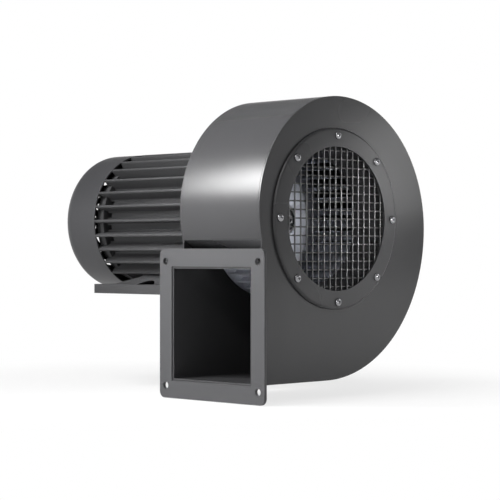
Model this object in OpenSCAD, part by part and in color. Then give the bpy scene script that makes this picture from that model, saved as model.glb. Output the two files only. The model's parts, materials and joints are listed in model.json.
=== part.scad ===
// Foot-mounted dc blower fan: sheet-steel scroll housing, forward-curved impeller, finned brushed motor.
// The shaft lies along Y. The inlet faces -Y, the outlet faces -X and the motor stands behind at +Y.
// The origin is the centre of the four foot holes, on the underside of the feet.

/* [Scroll housing] */
// Width over the two side plates
housing_w = 102; // [80:1:120]
// Thickness of the side plates
plate_t = 2; // [1:0.5:3]
// Thickness of the rolled wrapper and the cut-off sheet
wrapper_t = 2; // [1:0.5:3]
// Radius of the first scroll arc, from the cut-off to the top
scroll_r = 105.4; // [100:0.1:120]
// Growth of the radius from the first arc to the second
scroll_step_1 = 15.4; // [8:0.1:20]
// Growth of the radius from the second arc to the third
scroll_step_2 = 17.9; // [8:0.1:22]
// Centre of the first arc, to the right of the shaft
scroll_x = 6.9; // [4:0.1:10]
// Centre of the first arc, above the shaft
scroll_z = 7; // [4:0.1:10]
// Depth below the shaft at which the wrapper ends in a crease
crease_drop = 19.6; // [12:0.1:26]
// Distance of the cut-off's bend from the shaft, sideways
tongue_x = 72; // [70:0.5:80]
// Inner radius of the cut-off's bend
tongue_r = 3; // [2:0.5:4]

/* [Outlet] */
// Height of the outlet duct, outside
duct_h = 103.8; // [90:0.1:110]
// Distance of the outlet flange's face from the shaft
outlet_x = 108.7; // [105:0.1:130]
// Width of the flange round the duct
flange_border = 16; // [14:0.5:22]
// Thickness of the outlet flange
flange_t = 3; // [2:0.5:5]
// Corner radius of the outlet flange
flange_corner = 6; // [2:0.5:8]
// Depth by which the duct stops short of the flange's face
duct_recess = 1; // [0.5:0.5:1.5]
// Diameter of the flange's four holes
flange_hole_d = 6.6; // [5:0.1:7]
// Spacing of the flange's holes along the shaft
flange_hole_y = 118; // [114:1:120]
// Spacing of the flange's holes up and down
flange_hole_z = 113; // [112:1:120]

/* [Inlet and guard] */
// Distance from the guard's screw circle to the inlet hole in the side plate
inlet_rim = 3.5; // [3:0.5:5]
// Distance from the edge of the inlet cone's flange to the edge of the guard ring
cone_step = 1.5; // [1:0.5:3]
// Inner diameter of the inlet cone at its throat
throat_d = 120; // [110:1:121]
// Depth of the inlet cone behind the side plate's face
cone_depth = 30; // [30:0.5:32]
// Thickness of the inlet cone's sheet
cone_t = 1.2; // [0.8:0.1:1.5]
// Radius of the inlet cone's rolled mouth
mouth_r = 6; // [5:0.5:8]
// Length of the straight lip at the end of the cone
cone_lip = 6; // [4:0.5:8]
// Outer diameter of the guard ring
guard_od = 166; // [164:1:170]
// Width of the guard ring, from its outer edge to its opening
guard_w = 17.2; // [16:0.1:20]
// Thickness of the guard ring
guard_t = 2; // [1.5:0.1:3]
// Distance from the guard ring's outer edge to its screws
guard_edge = 7; // [6.5:0.5:8]
// Number of guard screws
guard_screws_n = 8; // [4:1:12]
// Thread diameter of the guard screws
guard_screw_d = 4; // [3:1:4]
// Head diameter of the guard screws
guard_head_d = 7.4; // [6:0.1:8]
// Pitch of the wire guard's square mesh
mesh_pitch = 7.75; // [6:0.05:12]
// Wire diameter of the guard
wire_d = 1.4; // [1:0.1:1.6]

/* [Impeller] */
// Diameter of the impeller
impeller_d = 144; // [136:1:146]
// Radial width of the blades' ring
blade_ring_w = 10; // [9:0.5:11]
// Number of blades
blade_n = 36; // [24:1:40]
// Thickness of a blade
blade_t = 0.8; // [0.6:0.1:1.2]
// Radius to which a blade is rolled
blade_roll_r = 9; // [9:0.5:12]
// Distance from the inlet plate's face to the impeller's front ring
impeller_y = 28; // [27:0.5:28]
// Length of the blades between the front ring and the back disc
blade_l = 58; // [50:0.5:60]
// Thickness of the impeller's front ring and back disc
disc_t = 1.5; // [1:0.1:2]
// Diameter of the hub's boss
hub_d = 30; // [26:1:32]
// Diameter of the hub's flange
hub_flange_d = 56; // [50:1:64]
// Thickness of the hub's flange
hub_flange_t = 4; // [3:0.5:5]
// Length of the hub's boss in front of the disc
hub_front = 24; // [20:0.5:28]
// Length of the hub's boss behind the disc
hub_back = 4; // [2:0.5:5]
// Number of hub rivets
rivet_n = 6; // [4:1:8]
// Rivet circle in the hub's flange
rivet_pcd = 43; // [41:0.5:45]

/* [Motor] */
// Height of the shaft above the feet
shaft_h = 71; // [71:0.5:80]
// Diameter of the shaft's end
shaft_d = 14; // [12:1:14]
// Diameter of the shaft at its bearings
bearing_bore = 15; // [15:1:17]
// Outer diameter of the bearings
bearing_od = 35; // [32:1:36]
// Width of the bearings
bearing_w = 11; // [9:0.5:12]
// Number of balls in a bearing
ball_n = 8; // [6:1:8]
// Diameter over the fins
fin_d = 136; // [130:1:138]
// Diameter of the frame between the fins
root_d = 110; // [108:1:112]
// Bore of the frame
frame_bore = 94; // [93:0.5:96]
// Thickness of a fin at its round tip
fin_t = 2.8; // [2:0.1:4]
// Growth of a fin's thickness from its tip to the frame
fin_taper = 1.2; // [0:0.1:2]
// Angle from one fin to the next
fin_pitch = 12.4; // [12:0.1:12.8]
// Number of fins on a side, above its middle fin
fin_half = 7; // [5:1:7]
// Length of the finned frame
frame_l = 134; // [130:1:136]
// Length of the front end shield between housing and frame
front_shield_l = 24; // [22:0.5:26]
// Diameter of the front end shield's flange
shield_flange_d = 132; // [128:1:136]
// Diameter of the front end shield's spigot in the side plate
spigot_d = 70; // [56:1:76]
// Bolt circle of the front end shield's flange
motor_pcd = 115; // [112:1:118]
// Thread diameter of the flange bolts
motor_bolt_d = 6; // [5:1:6]
// Diameter of the armature
armature_d = 78; // [70:0.5:78]
// Length of the coils' end turns at each end of the core
winding_l = 11; // [8:0.5:12]
// Number of armature teeth
armature_teeth = 16; // [12:1:20]
// Thickness of the field magnets
magnet_t = 6.5; // [5:0.5:7]
// Angle that a field magnet covers
magnet_angle = 66; // [50:1:70]
// Diameter of the commutator
commutator_d = 38; // [34:1:42]
// Length of the commutator
commutator_l = 16; // [12:0.5:18]
// Number of commutator bars
bar_n = 24; // [16:1:32]

/* [Cowl and cooling fan] */
// Step from the fins' tips down to the fan cowl
cowl_step = 0.2; // [0:0.1:1]
// Length of the fan cowl
cowl_l = 50.5; // [46:0.5:56]
// Thickness of the cowl's sheet
cowl_t = 1.5; // [1:0.1:2]
// Radius round the cowl's closed end
cowl_round = 14; // [8:0.5:16]
// Width of the cowl's air slots
slot_w = 4; // [3:0.5:5]
// Number of rings of air slots
slot_rings = 4; // [3:1:4]
// Diameter of the cooling fan
fan_d = 84; // [70:1:88]
// Number of cooling fan blades
fan_blades = 8; // [6:1:10]
// Width of the cooling fan's blades
fan_w = 18; // [14:1:22]
// Distance from the cowl's outside to the screws that hold it
post_edge = 18.8; // [18:0.1:20]
// Width of the ribs between the air slots
rib_w = 6; // [4:0.5:8]
// Thread diameter of the cowl's screws
cowl_screw_d = 4; // [3:1:4]

/* [Feet] */
// Foot hole spacing across the shaft
foot_a = 112; // [108:1:116]
// Foot hole spacing along the shaft
foot_b = 90; // [80:1:94]
// Diameter of the foot holes
foot_hole_d = 7; // [5:0.5:9]
// Thickness of the foot rails
foot_t = 9; // [8:0.5:9]
// Width of a foot rail
foot_w = 29; // [26:0.5:30]
// Distance from a foot hole to the rail's outer edge
foot_edge = 11.5; // [9:0.5:13]
// Distance from the rear foot holes to the rail's rear end
foot_rear = 20; // [14:0.5:24]
// Distance from the front foot holes to the rail's front end
foot_front = 10; // [8:0.5:14]
// Length of the saddle where it meets the frame
saddle_l = 50; // [40:1:56]
// Width of the arched gap under the saddle
arch_w = 24; // [16:1:28]
// Height of the arched gap
arch_h = 4; // [2:0.5:5]

/* [Hidden] */
$fn = 96;

// Clearances between pieces
fit = 0.1;              // a seat that a spigot or ring fits into
run = 0.05;             // a bearing's running clearance, all round
hole_gap = 0.25;        // a screw in its clearance hole, all round
air_gap = 0.8;          // magnets to armature
far = 400;              // longer than anything that it cuts

// The scroll: three arcs, each tangent to the next, on the corners of a construction rectangle
arc_a = [scroll_x, scroll_z];
arc_b = [scroll_x, scroll_z - scroll_step_1];
arc_c = [scroll_x - scroll_step_2, arc_b[1]];
r_a = scroll_r;
r_b = r_a + scroll_step_1;
r_c = r_b + scroll_step_2;
bottom_z = arc_c[1] - r_c;
duct_top = bottom_z + duct_h;
duct_end = -(outlet_x - duct_recess);
crease_z = -crease_drop;
crease_x = arc_a[0] - sqrt(r_a * r_a - (crease_z - arc_a[1]) * (crease_z - arc_a[1]));
plate_y = housing_w - plate_t;      // inner face of the motor side plate

// The cut-off sheet: from the crease, straight to the bend, then back along the duct
bend = [-tongue_x, duct_top + tongue_r];
bend_dx = bend[0] - crease_x;
bend_dz = bend[1] - crease_z;
bend_far = sqrt(bend_dx * bend_dx + bend_dz * bend_dz);
cut_angle = atan2(bend_dz, bend_dx) + asin(tongue_r / bend_far);
cut_dir = [cos(cut_angle), sin(cut_angle)];
cut_normal = [-sin(cut_angle), cos(cut_angle)];

// The inlet, from front to back
ring_y = -cone_t - guard_t;         // guard ring's front face
guard_hole_d = guard_od - 2 * guard_w;
guard_pcd = guard_od - 2 * guard_edge;
cone_flange_d = guard_od - 2 * cone_step;
inlet_hole_d = guard_pcd - 2 * inlet_rim;
mesh_overlap = 1.2;                 // the wires end this far behind the guard ring
cone_end = cone_depth;
throat_r = throat_d / 2;
mesh_r = guard_hole_d / 2 + mesh_overlap;
mesh_reach = floor((mesh_r - wire_d) / mesh_pitch);

// The cone's mouth: an arc off its flange, then a straight line tangent to it down to the throat
mouth = [inlet_hole_d / 2, mouth_r - cone_t];
cone_foot = [throat_r, cone_end - cone_lip];
mouth_dx = mouth[0] - cone_foot[0];
mouth_dy = cone_foot[1] - mouth[1];
mouth_far = sqrt(mouth_dx * mouth_dx + mouth_dy * mouth_dy);
mouth_sweep = 90 - atan2(mouth_dx, mouth_dy) + asin(mouth_r / mouth_far);

// The impeller and its hub
ring_back = impeller_y + disc_t;
disc_y = ring_back + blade_l;       // front face of the back disc
blade_r = impeller_d / 2 - blade_ring_w;
blade_rim = 1.2;                    // the blades stop this far inside the front ring's edge
blade_sweep = asin((blade_ring_w - blade_rim) / blade_roll_r);
hub_y = disc_y - hub_front;
hub_end_y = disc_y + disc_t + hub_back;
washer_t = 2;
end_screw_d = 5;
end_screw_l = 16;

// The motor, from front to back
shield_y = housing_w;
frame_y = shield_y + front_shield_l;
frame_end = frame_y + frame_l;
spigot_l = 6;                       // end shields reach this far into the frame
motor_bolt_head = 3.4;
motor_bolt_l = 10;
front_bearing_y = shield_y + 9;
cowl_d = fin_d - 2 * cowl_step;
post_pcd = cowl_d - 2 * post_edge;
cowl_screw_l = 9;
cowl_gap = 5.3;                     // air passage between the frame's rear flange and the cowl
end_flange_t = 6;                   // the frame's own rear flange
end_flange_d = cowl_d - 2 * (cowl_t + cowl_gap);
rear_flange_t = 5;                  // the rear end shield's flange
rear_y = frame_end;
rear_bearing_y = rear_y - 2;
cowl_y = frame_end;
cowl_end = cowl_y + cowl_l;
shaft_end = cowl_end - cowl_t - 6;
fan_y = shaft_end - fan_w - 3;
yoke_t = 3;
yoke_y = rear_y - spigot_l - yoke_t;
commutator_y = yoke_y - commutator_l - 1;
lead_room = 9;                      // for the leads between the coils and the commutator
core_y = frame_y + 26;
core_end = commutator_y - lead_room - winding_l;
armature_l = core_end - core_y;
winding_r = armature_d / 2 - 5;
magnet_ro = frame_bore / 2 - fit;
magnet_ri = armature_d / 2 + air_gap;
tie_r = (magnet_ri + magnet_ro) / 2;
tie_d = 5;
ball_d = 5.9;
ball_pitch_r = (bearing_bore + bearing_od) / 4;
ring_wall = 2.9;                    // thickness of a bearing ring, without its groove
key_w = 5;
key_l = 20;
post_r = 4;
brush_w = 8;
brush_h = 10;
brush_l = 14;
spring_d = 6;
spring_wall = 1;
brush_in = commutator_d / 2 + air_gap / 2;
holder_in = commutator_d / 2 + 3;
holder_out = frame_bore / 2 - 3;
holder_wall = 1.2;
brush_y = yoke_y - brush_h / 2 - holder_wall - fit;     // middle of the brushes

// The feet
foot_y = frame_end - foot_rear - foot_b / 2;    // from the inlet plate's face to the centre of the holes
foot_z = -shaft_h;
rail_top = foot_z + foot_t;
rail_x = foot_a / 2 + foot_edge;
rail_in = rail_x - foot_w;
root_r = root_d / 2;
leg_low = 76;                       // lowest angle at which a leg meets the frame
leg_high = 57;                      // highest angle
leg_bite = 2;                       // the leg is drawn this far into the frame, before its seat is cut
leg_lip = 2.2;                      // the leg's upper edge stands this far off the frame
leg_root = 6.6;                     // thickness of the leg's lower edge
saddle_slope = 22;                  // length of the sloped ends
saddle_rise = 7;                    // height of the saddle's shoulder over the rail
foot_screw_angle = 66;
foot_screw_d = 5;
foot_head_r = 4.2;
foot_head_h = 4;
foot_seat_r = root_r + 5;
foot_thread_r = frame_bore / 2 + 1;
saddle_y = foot_y - 2;              // middle of the saddle along the shaft
foot_screws_y = [saddle_y - saddle_l / 2 + 8, saddle_y + saddle_l / 2 - 8];

// The cable gland, on the side away from the outlet
gland_rear = 29;                    // from the frame's rear end
gland_y = frame_end - gland_rear;
gland_pad = 26;
gland_r = 8;
gland_hole_r = 4;
gland_x = fin_d / 2 + 1;
gland_thread_l = 8;
gland_hex_r = 12;
gland_hex_h = 7;
gland_dome_r = 10;
gland_dome_h = 9;

// ---- helpers: modules below work with the shaft along Y through zero and the inlet plate's face at Y = 0

module place() {
    translate([0, -foot_y, shaft_h]) children();
}

// A flat shape, drawn in X and Z as the inlet side shows it, from y to y + t
module slab(y, t) {
    translate([0, y + t, 0]) rotate([90, 0, 0]) linear_extrude(t) children();
}

// A profile of [radius, y] points turned round the shaft
module turned() {
    rotate([-90, 0, 0]) rotate_extrude() children();
}

// A cylinder along the shaft direction
module rod(r, y0, y1) {
    translate([0, y0, 0]) rotate([-90, 0, 0]) cylinder(r = r, h = y1 - y0);
}

module tube(r_out, r_in, y0, y1) {
    difference() {
        rod(r_out, y0, y1);
        rod(r_in, y0 - 1, y1 + 1);
    }
}

// Copies round the shaft
module around(n, first = 0) {
    for (i = [0 : n - 1]) rotate([0, first + 360 * i / n, 0]) children();
}

// The same, set off from the shaft by r
module on_circle(r, n, first = 0) {
    around(n, first) translate([r, 0, 0]) children();
}

// A plain screw along the shaft direction, its head's face at y; dir 1 heads to -Y, -1 to +Y
module screw(d, head_d, head_h, y, l, dir = 1) {
    shank = dir > 0 ? [y, y + l] : [y - l, y];
    head = dir > 0 ? [y - head_h, y] : [y, y + head_h];
    rod(d / 2, shank[0], shank[1]);
    rod(head_d / 2, head[0], head[1]);
}

// ---- scroll housing

// Region inside the scroll, drawn from outside by inset
module scroll_area(inset) {
    intersection() {
        translate(arc_a) circle(r_a - inset);
        translate([arc_a[0] - far, crease_z]) square([far, far]);
    }
    intersection() {
        translate(arc_b) circle(r_b - inset);
        translate(arc_b) square([far, far]);
    }
    intersection() {
        translate(arc_c) circle(r_c - inset);
        translate([arc_c[0], arc_c[1] - far]) square([far, far]);
    }
}

// Outline of a side plate: the scroll, the outlet duct and the fill beside the cut-off
module plate_outline() {
    scroll_area(0);
    polygon([
        [crease_x, arc_a[1]],
        [crease_x, duct_top],
        [duct_end, duct_top],
        [duct_end, bottom_z],
        [arc_c[0], bottom_z],
        [arc_c[0] + 20, arc_c[1]],
        [arc_a[0], arc_a[1]],
    ]);
}

module inlet_side_plate() {
    color([0.25, 0.25, 0.26]) place() difference() {
        slab(0, plate_t) plate_outline();
        rod(inlet_hole_d / 2, -1, plate_t + 1);
        on_circle(guard_pcd / 2, guard_screws_n) rod(guard_screw_d / 2 + hole_gap, -1, plate_t + 1);
    }
}

module motor_side_plate() {
    color([0.25, 0.25, 0.26]) place() difference() {
        slab(plate_y, plate_t) plate_outline();
        rod(spigot_d / 2, plate_y - 1, housing_w + 1);
        on_circle(motor_pcd / 2, 4, 45) rod(motor_bolt_d / 2 + hole_gap, plate_y - 1, housing_w + 1);
    }
}

// The rolled sheet between the side plates, from the crease over the top to the outlet
module scroll_wrapper() {
    color([0.42, 0.42, 0.43]) place() slab(plate_t, plate_y - plate_t) {
        difference() {
            scroll_area(0);
            scroll_area(wrapper_t);
        }
        translate([duct_end, bottom_z]) square([arc_c[0] - duct_end, wrapper_t]);
    }
}

module cut_off_sheet() {
    outer_r = tongue_r + wrapper_t;
    start = [crease_x, crease_z];
    rise = wrapper_t * cut_normal[1] / -cut_dir[1];
    color([0.2, 0.2, 0.21]) place() slab(plate_t, plate_y - plate_t) {
        polygon([
            start,
            bend + tongue_r * cut_normal,
            bend + outer_r * cut_normal,
            start + wrapper_t * cut_normal + rise * cut_dir,
        ]);
        intersection() {
            difference() {
                translate(bend) circle(outer_r);
                translate(bend) circle(tongue_r);
            }
            polygon([
                bend,
                bend + 3 * outer_r * cut_normal,
                bend + 3 * outer_r * [1, 0],
                bend + 3 * outer_r * [0, -1],
            ]);
        }
        translate([duct_end, bend[1] - outer_r]) square([bend[0] - duct_end, wrapper_t]);
    }
}

module outlet_flange() {
    mid_z = (bottom_z + duct_top) / 2;
    wide = housing_w + 2 * flange_border;
    high = duct_h + 2 * flange_border;
    corner = [wide / 2 - flange_corner, high / 2 - flange_corner];
    color([0.45, 0.45, 0.47]) place()
        translate([-outlet_x, housing_w / 2, mid_z]) rotate([90, 0, 90]) difference() {
            linear_extrude(flange_t) {
                square([wide, 2 * corner[1]], center = true);
                square([2 * corner[0], high], center = true);
                for (y = [-1, 1], z = [-1, 1])
                    translate([y * corner[0], z * corner[1]]) circle(flange_corner);
            }
            translate([-housing_w / 2, -duct_h / 2, -1]) cube([housing_w, duct_h, flange_t + 2]);
            for (y = [-1, 1], z = [-1, 1])
                translate([y * flange_hole_y / 2, z * flange_hole_z / 2, -1])
                    cylinder(d = flange_hole_d, h = flange_t + 2);
        }
}

// ---- inlet

// Points round the mouth's arc at radius r, from the flange inwards
function mouth_arc(r) = [for (i = [0 : 6])
    let (a = mouth_sweep * i / 6) mouth - r * [sin(a), cos(a)]];

// A spun bell mouth: flat flange, rolled mouth, cone and straight lip
module inlet_cone() {
    front = mouth_arc(mouth_r);
    back = mouth_arc(mouth_r - cone_t);
    color([0.3, 0.3, 0.31]) place() difference() {
        turned() polygon(concat(
            [[cone_flange_d / 2, -cone_t]],
            front,
            [cone_foot, [throat_r, cone_end]],
            [[throat_r + cone_t, cone_end], cone_foot + [cone_t, 0]],
            [for (i = [6 : -1 : 0]) back[i]],
            [[cone_flange_d / 2, 0]]
        ));
        on_circle(guard_pcd / 2, guard_screws_n) rod(guard_screw_d / 2 + hole_gap, -cone_t - 1, 1);
    }
}

module guard_ring() {
    round_r = 0.8;
    color([0.28, 0.28, 0.29]) place() difference() {
        turned() polygon([
            [guard_hole_d / 2, ring_y],
            [guard_od / 2 - round_r, ring_y],
            [guard_od / 2, ring_y + round_r],
            [guard_od / 2, -cone_t],
            [guard_hole_d / 2, -cone_t],
        ]);
        on_circle(guard_pcd / 2, guard_screws_n) rod(guard_screw_d / 2 + hole_gap, ring_y - 1, 1);
    }
}

// Upright wires welded on level ones, trimmed to a circle behind the guard ring
module guard_mesh() {
    color([0.5, 0.5, 0.5]) place() for (i = [-mesh_reach : mesh_reach]) {
        at = i * mesh_pitch;
        half = sqrt(mesh_r * mesh_r - at * at);
        translate([at, -cone_t + wire_d / 2, -half]) cylinder(d = wire_d, h = 2 * half, $fn = 16);
        translate([-half, -cone_t + wire_d * 1.5, at]) rotate([0, 90, 0])
            cylinder(d = wire_d, h = 2 * half, $fn = 16);
    }
}

module guard_screws() {
    head_h = 2.6;
    color("silver") place() on_circle(guard_pcd / 2, guard_screws_n)
        screw(guard_screw_d, guard_head_d, head_h, ring_y, plate_t - ring_y + 5);
}

module guard_nuts() {
    nut_h = 3.2;
    color("silver") place() on_circle(guard_pcd / 2, guard_screws_n) difference() {
        translate([0, plate_t, 0]) rotate([-90, 0, 0]) cylinder(d = 2 * guard_screw_d, h = nut_h, $fn = 6);
        rod(guard_screw_d / 2 + run, plate_t - 1, plate_t + nut_h + 1);
    }
}

// ---- impeller

module impeller_front_ring() {
    color([0.62, 0.62, 0.63]) place() tube(impeller_d / 2, blade_r, impeller_y, ring_back);
}

// Points along a blade's face at radius r from the centre to which it is rolled
function blade_face(r) = [for (i = [0 : 5])
    let (a = blade_sweep * i / 5) [blade_r + r * sin(a), -blade_roll_r + r * cos(a)]];

// Forward-curved blades: radial at the inside, leaning into the rotation at the tip
module impeller_blades() {
    outer = blade_face(blade_roll_r + blade_t / 2);
    inner = blade_face(blade_roll_r - blade_t / 2);
    color([0.6, 0.6, 0.61]) place() around(blade_n) slab(ring_back, blade_l)
        polygon(concat(outer, [for (i = [5 : -1 : 0]) inner[i]]));
}

module impeller_back_disc() {
    color([0.62, 0.62, 0.63]) place() difference() {
        tube(impeller_d / 2, hub_d / 2 + fit, disc_y, disc_y + disc_t);
        on_circle(rivet_pcd / 2, rivet_n) rod(2 + fit, disc_y - 1, disc_y + disc_t + 1);
    }
}

module impeller_hub() {
    color([0.55, 0.55, 0.56]) place() difference() {
        union() {
            rod(hub_d / 2, hub_y, hub_end_y);
            rod(hub_flange_d / 2, disc_y - hub_flange_t, disc_y);
        }
        rod(shaft_d / 2 + fit / 2, hub_y - 1, hub_end_y + 1);
        on_circle(rivet_pcd / 2, rivet_n) rod(2 + fit, disc_y - hub_flange_t - 1, disc_y + 1);
        key_space(hub_y - 1, hub_end_y + 1, fit);
    }
}

module hub_rivets() {
    head_h = 1.4;
    back = disc_y + disc_t;
    color("silver") place() on_circle(rivet_pcd / 2, rivet_n) {
        rod(2, disc_y - hub_flange_t, back);
        rod(3.4, disc_y - hub_flange_t - head_h, disc_y - hub_flange_t);
        rod(3.4, back, back + head_h);
    }
}

// The key's room, above the shaft's middle
module key_space(y0, y1, gap) {
    translate([-key_w / 2 - gap, y0, 0]) cube([key_w + 2 * gap, y1 - y0, shaft_d / 2 + 2.3 + gap]);
}

module shaft_key() {
    color([0.45, 0.45, 0.46]) place()
        translate([-key_w / 2, disc_y - key_l, shaft_d / 2 - 3 + fit]) cube([key_w, key_l, 5.2]);
}

module hub_washer() {
    color("silver") place() tube(hub_d / 2 - 4, end_screw_d / 2 + fit * 5, hub_y - washer_t, hub_y);
}

module hub_end_screw() {
    color("silver") place()
        screw(end_screw_d, 1.9 * end_screw_d, 4.5, hub_y - washer_t, end_screw_l);
}

// ---- shaft and bearings

module motor_shaft() {
    seat = bearing_bore / 2 - fit / 2;
    body_r = bearing_bore / 2 + 2;
    rear_seat_end = rear_bearing_y + bearing_w;
    color([0.7, 0.7, 0.72]) place() difference() {
        turned() polygon([
            [0, hub_y], [shaft_d / 2 - 1, hub_y], [shaft_d / 2, hub_y + 1],
            [shaft_d / 2, front_bearing_y - 1],
            [seat, front_bearing_y - 1], [seat, front_bearing_y + bearing_w],
            [body_r, front_bearing_y + bearing_w], [body_r, rear_bearing_y],
            [seat, rear_bearing_y], [seat, rear_seat_end + 1],
            [shaft_d / 2, rear_seat_end + 1], [shaft_d / 2, shaft_end - 1],
            [shaft_d / 2 - 1, shaft_end], [0, shaft_end],
        ]);
        translate([-key_w / 2, disc_y - key_l, shaft_d / 2 - 3]) cube([key_w, key_l, 4]);
        rod(end_screw_d / 2 + run, hub_y - 1, hub_y + end_screw_l);
    }
}

module bearing_groove(y) {
    turned() translate([ball_pitch_r, y + bearing_w / 2]) circle(ball_d / 2 + run);
}

module bearing_inner(y) {
    color([0.75, 0.75, 0.77]) place() difference() {
        tube(bearing_bore / 2 + ring_wall, bearing_bore / 2, y, y + bearing_w);
        bearing_groove(y);
    }
}

module bearing_outer(y) {
    color([0.75, 0.75, 0.77]) place() difference() {
        tube(bearing_od / 2 - fit, bearing_od / 2 - ring_wall, y, y + bearing_w);
        bearing_groove(y);
    }
}

module bearing_balls(y) {
    color([0.8, 0.8, 0.82]) place() on_circle(ball_pitch_r, ball_n)
        translate([0, y + bearing_w / 2, 0]) sphere(d = ball_d, $fn = 32);
}

module front_bearing_inner() { bearing_inner(front_bearing_y); }
module front_bearing_outer() { bearing_outer(front_bearing_y); }
module front_bearing_balls() { bearing_balls(front_bearing_y); }
module rear_bearing_inner() { bearing_inner(rear_bearing_y); }
module rear_bearing_outer() { bearing_outer(rear_bearing_y); }
module rear_bearing_balls() { bearing_balls(rear_bearing_y); }

// ---- motor casing

module front_end_shield() {
    seat_r = bearing_od / 2;
    boss_r = seat_r + 5;
    bearing_end = front_bearing_y + bearing_w;
    bore_r = bearing_bore / 2 + 2;
    hollow_r = frame_bore / 2 - 5;
    web_y = shield_y + 8;
    color([0.42, 0.42, 0.43]) place() difference() {
        turned() polygon([
            [bore_r, plate_y], [spigot_d / 2 - fit, plate_y], [spigot_d / 2 - fit, shield_y],
            [shield_flange_d / 2, shield_y], [shield_flange_d / 2, shield_y + 8],
            [root_r + 2, shield_y + 10], [root_r + 2, frame_y],
            [frame_bore / 2 - fit, frame_y], [frame_bore / 2 - fit, frame_y + spigot_l],
            [hollow_r, frame_y + spigot_l], [hollow_r, web_y],
            [boss_r, web_y], [boss_r, bearing_end],
            [seat_r, bearing_end], [seat_r, front_bearing_y],
            [bore_r, front_bearing_y],
        ]);
        on_circle(motor_pcd / 2, 4, 45) rod(motor_bolt_d / 2 + run, plate_y, shield_y + 12);
        on_circle(tie_r, 4, 45) rod(tie_d / 2 + run, shield_y + 4, frame_y + spigot_l + 1);
    }
}

module flange_bolts() {
    color("silver") place() on_circle(motor_pcd / 2, 4, 45)
        screw(motor_bolt_d, 1.75 * motor_bolt_d, motor_bolt_head, plate_y, motor_bolt_l);
}

// One fin, standing out from the frame to the side, thicker at its root and round at its tip
module fin() {
    root_half = (fin_t + fin_taper) / 2;
    tip = fin_d / 2 - fin_t / 2;
    polygon([
        [root_r - 1, -root_half], [tip, -fin_t / 2],
        [tip, fin_t / 2], [root_r - 1, root_half],
    ]);
    translate([tip, 0]) circle(fin_t / 2, $fn = 24);
}

// Angles of the fins of one side from its middle; the feet take the place of two below
fin_steps = [for (i = [-fin_half : fin_half]) if (i > -5 || i < -6) i];

module fin_set() {
    for (side = [0, 1], i = fin_steps) mirror([side, 0]) rotate(i * fin_pitch) fin();
}

module motor_frame() {
    groove = 6;
    groove_y = frame_end - end_flange_t - groove;
    pad_r = root_r - 4;
    color([0.4, 0.4, 0.41]) place() difference() {
        union() {
            slab(frame_y, frame_l) fin_set();
            turned() polygon([
                [frame_bore / 2, frame_y], [root_r, frame_y],
                [root_r, groove_y], [root_r - 4, groove_y + 4],
                [root_r - 4, groove_y + groove],
                [end_flange_d / 2, groove_y + groove], [end_flange_d / 2, frame_end - 1],
                [end_flange_d / 2 - 1, frame_end], [frame_bore / 2, frame_end],
            ]);
            translate([pad_r, gland_y - gland_pad / 2, -gland_pad / 2])
                cube([gland_x - pad_r, gland_pad, gland_pad]);
        }
        rod(frame_bore / 2, frame_y - 1, frame_end + 1);
        translate([0, gland_y, 0]) rotate([0, 90, 0]) cylinder(r = gland_r + run, h = far);
        for (side = [-1, 1], y = foot_screws_y) foot_screw_line(side, y)
            translate([0, 0, foot_thread_r])
                cylinder(r = foot_screw_d / 2 + run, h = foot_seat_r - foot_thread_r);
    }
}

module rear_end_shield() {
    seat_r = bearing_od / 2;
    boss_r = seat_r + 5;
    bearing_end = rear_bearing_y + bearing_w;
    shield_back = rear_y + rear_flange_t;
    hollow_r = frame_bore / 2 - 12;
    color([0.4, 0.4, 0.41]) place() {
        difference() {
            union() {
                turned() polygon([
                    [shaft_d / 2 + 2, bearing_end], [seat_r, bearing_end],
                    [seat_r, rear_bearing_y], [boss_r, rear_bearing_y],
                    [boss_r, rear_y], [hollow_r, rear_y],
                    [hollow_r, rear_y - spigot_l], [frame_bore / 2 - fit, rear_y - spigot_l],
                    [frame_bore / 2 - fit, rear_y], [end_flange_d / 2 - 1, rear_y],
                    [end_flange_d / 2 - 1, shield_back], [boss_r, shield_back],
                    [boss_r, bearing_end + 2], [shaft_d / 2 + 2, bearing_end + 2],
                ]);
                on_circle(post_pcd / 2, 4) rod(post_r, shield_back - 1, cowl_end - cowl_t);
            }
            on_circle(tie_r, 4, 45) rod(tie_d / 2 + hole_gap, rear_y - spigot_l - 1, shield_back + 1);
            on_circle(post_pcd / 2, 4)
                rod(cowl_screw_d / 2 + run, cowl_end - cowl_t - cowl_screw_l - 1, cowl_end);
        }
    }
}

// Long bolts between the magnets that clamp the two end shields on the frame
module tie_bolts() {
    y = rear_y + rear_flange_t;
    color("silver") place() on_circle(tie_r, 4, 45)
        screw(tie_d, 8.5, 4, y, y - shield_y - 6, -1);
}

module field_magnets() {
    magnet_l = armature_l + 8;
    wedge = [for (a = [-magnet_angle / 2, 0, magnet_angle / 2]) 2 * magnet_ro * [cos(a), sin(a)]];
    color([0.18, 0.18, 0.19]) place() around(4) slab(core_y - 4, magnet_l) intersection() {
        difference() {
            circle(magnet_ro);
            circle(magnet_ro - magnet_t);
        }
        polygon(concat([[0, 0]], wedge));
    }
}

// ---- armature

// Stacked laminations with teeth and open slots
module armature_core() {
    slot_depth = 14;
    mouth_w = 3;
    slot_r = 3.6;
    body_r = bearing_bore / 2 + 2 + fit;
    color([0.5, 0.5, 0.52]) place() slab(core_y, armature_l) difference() {
        circle(armature_d / 2);
        circle(body_r);
        for (i = [0 : armature_teeth - 1]) rotate(360 * i / armature_teeth) {
            translate([armature_d / 2 - slot_depth + slot_r, -mouth_w / 2]) square([slot_depth, mouth_w]);
            translate([armature_d / 2 - slot_depth + slot_r, 0]) circle(slot_r, $fn = 24);
        }
    }
}

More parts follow.
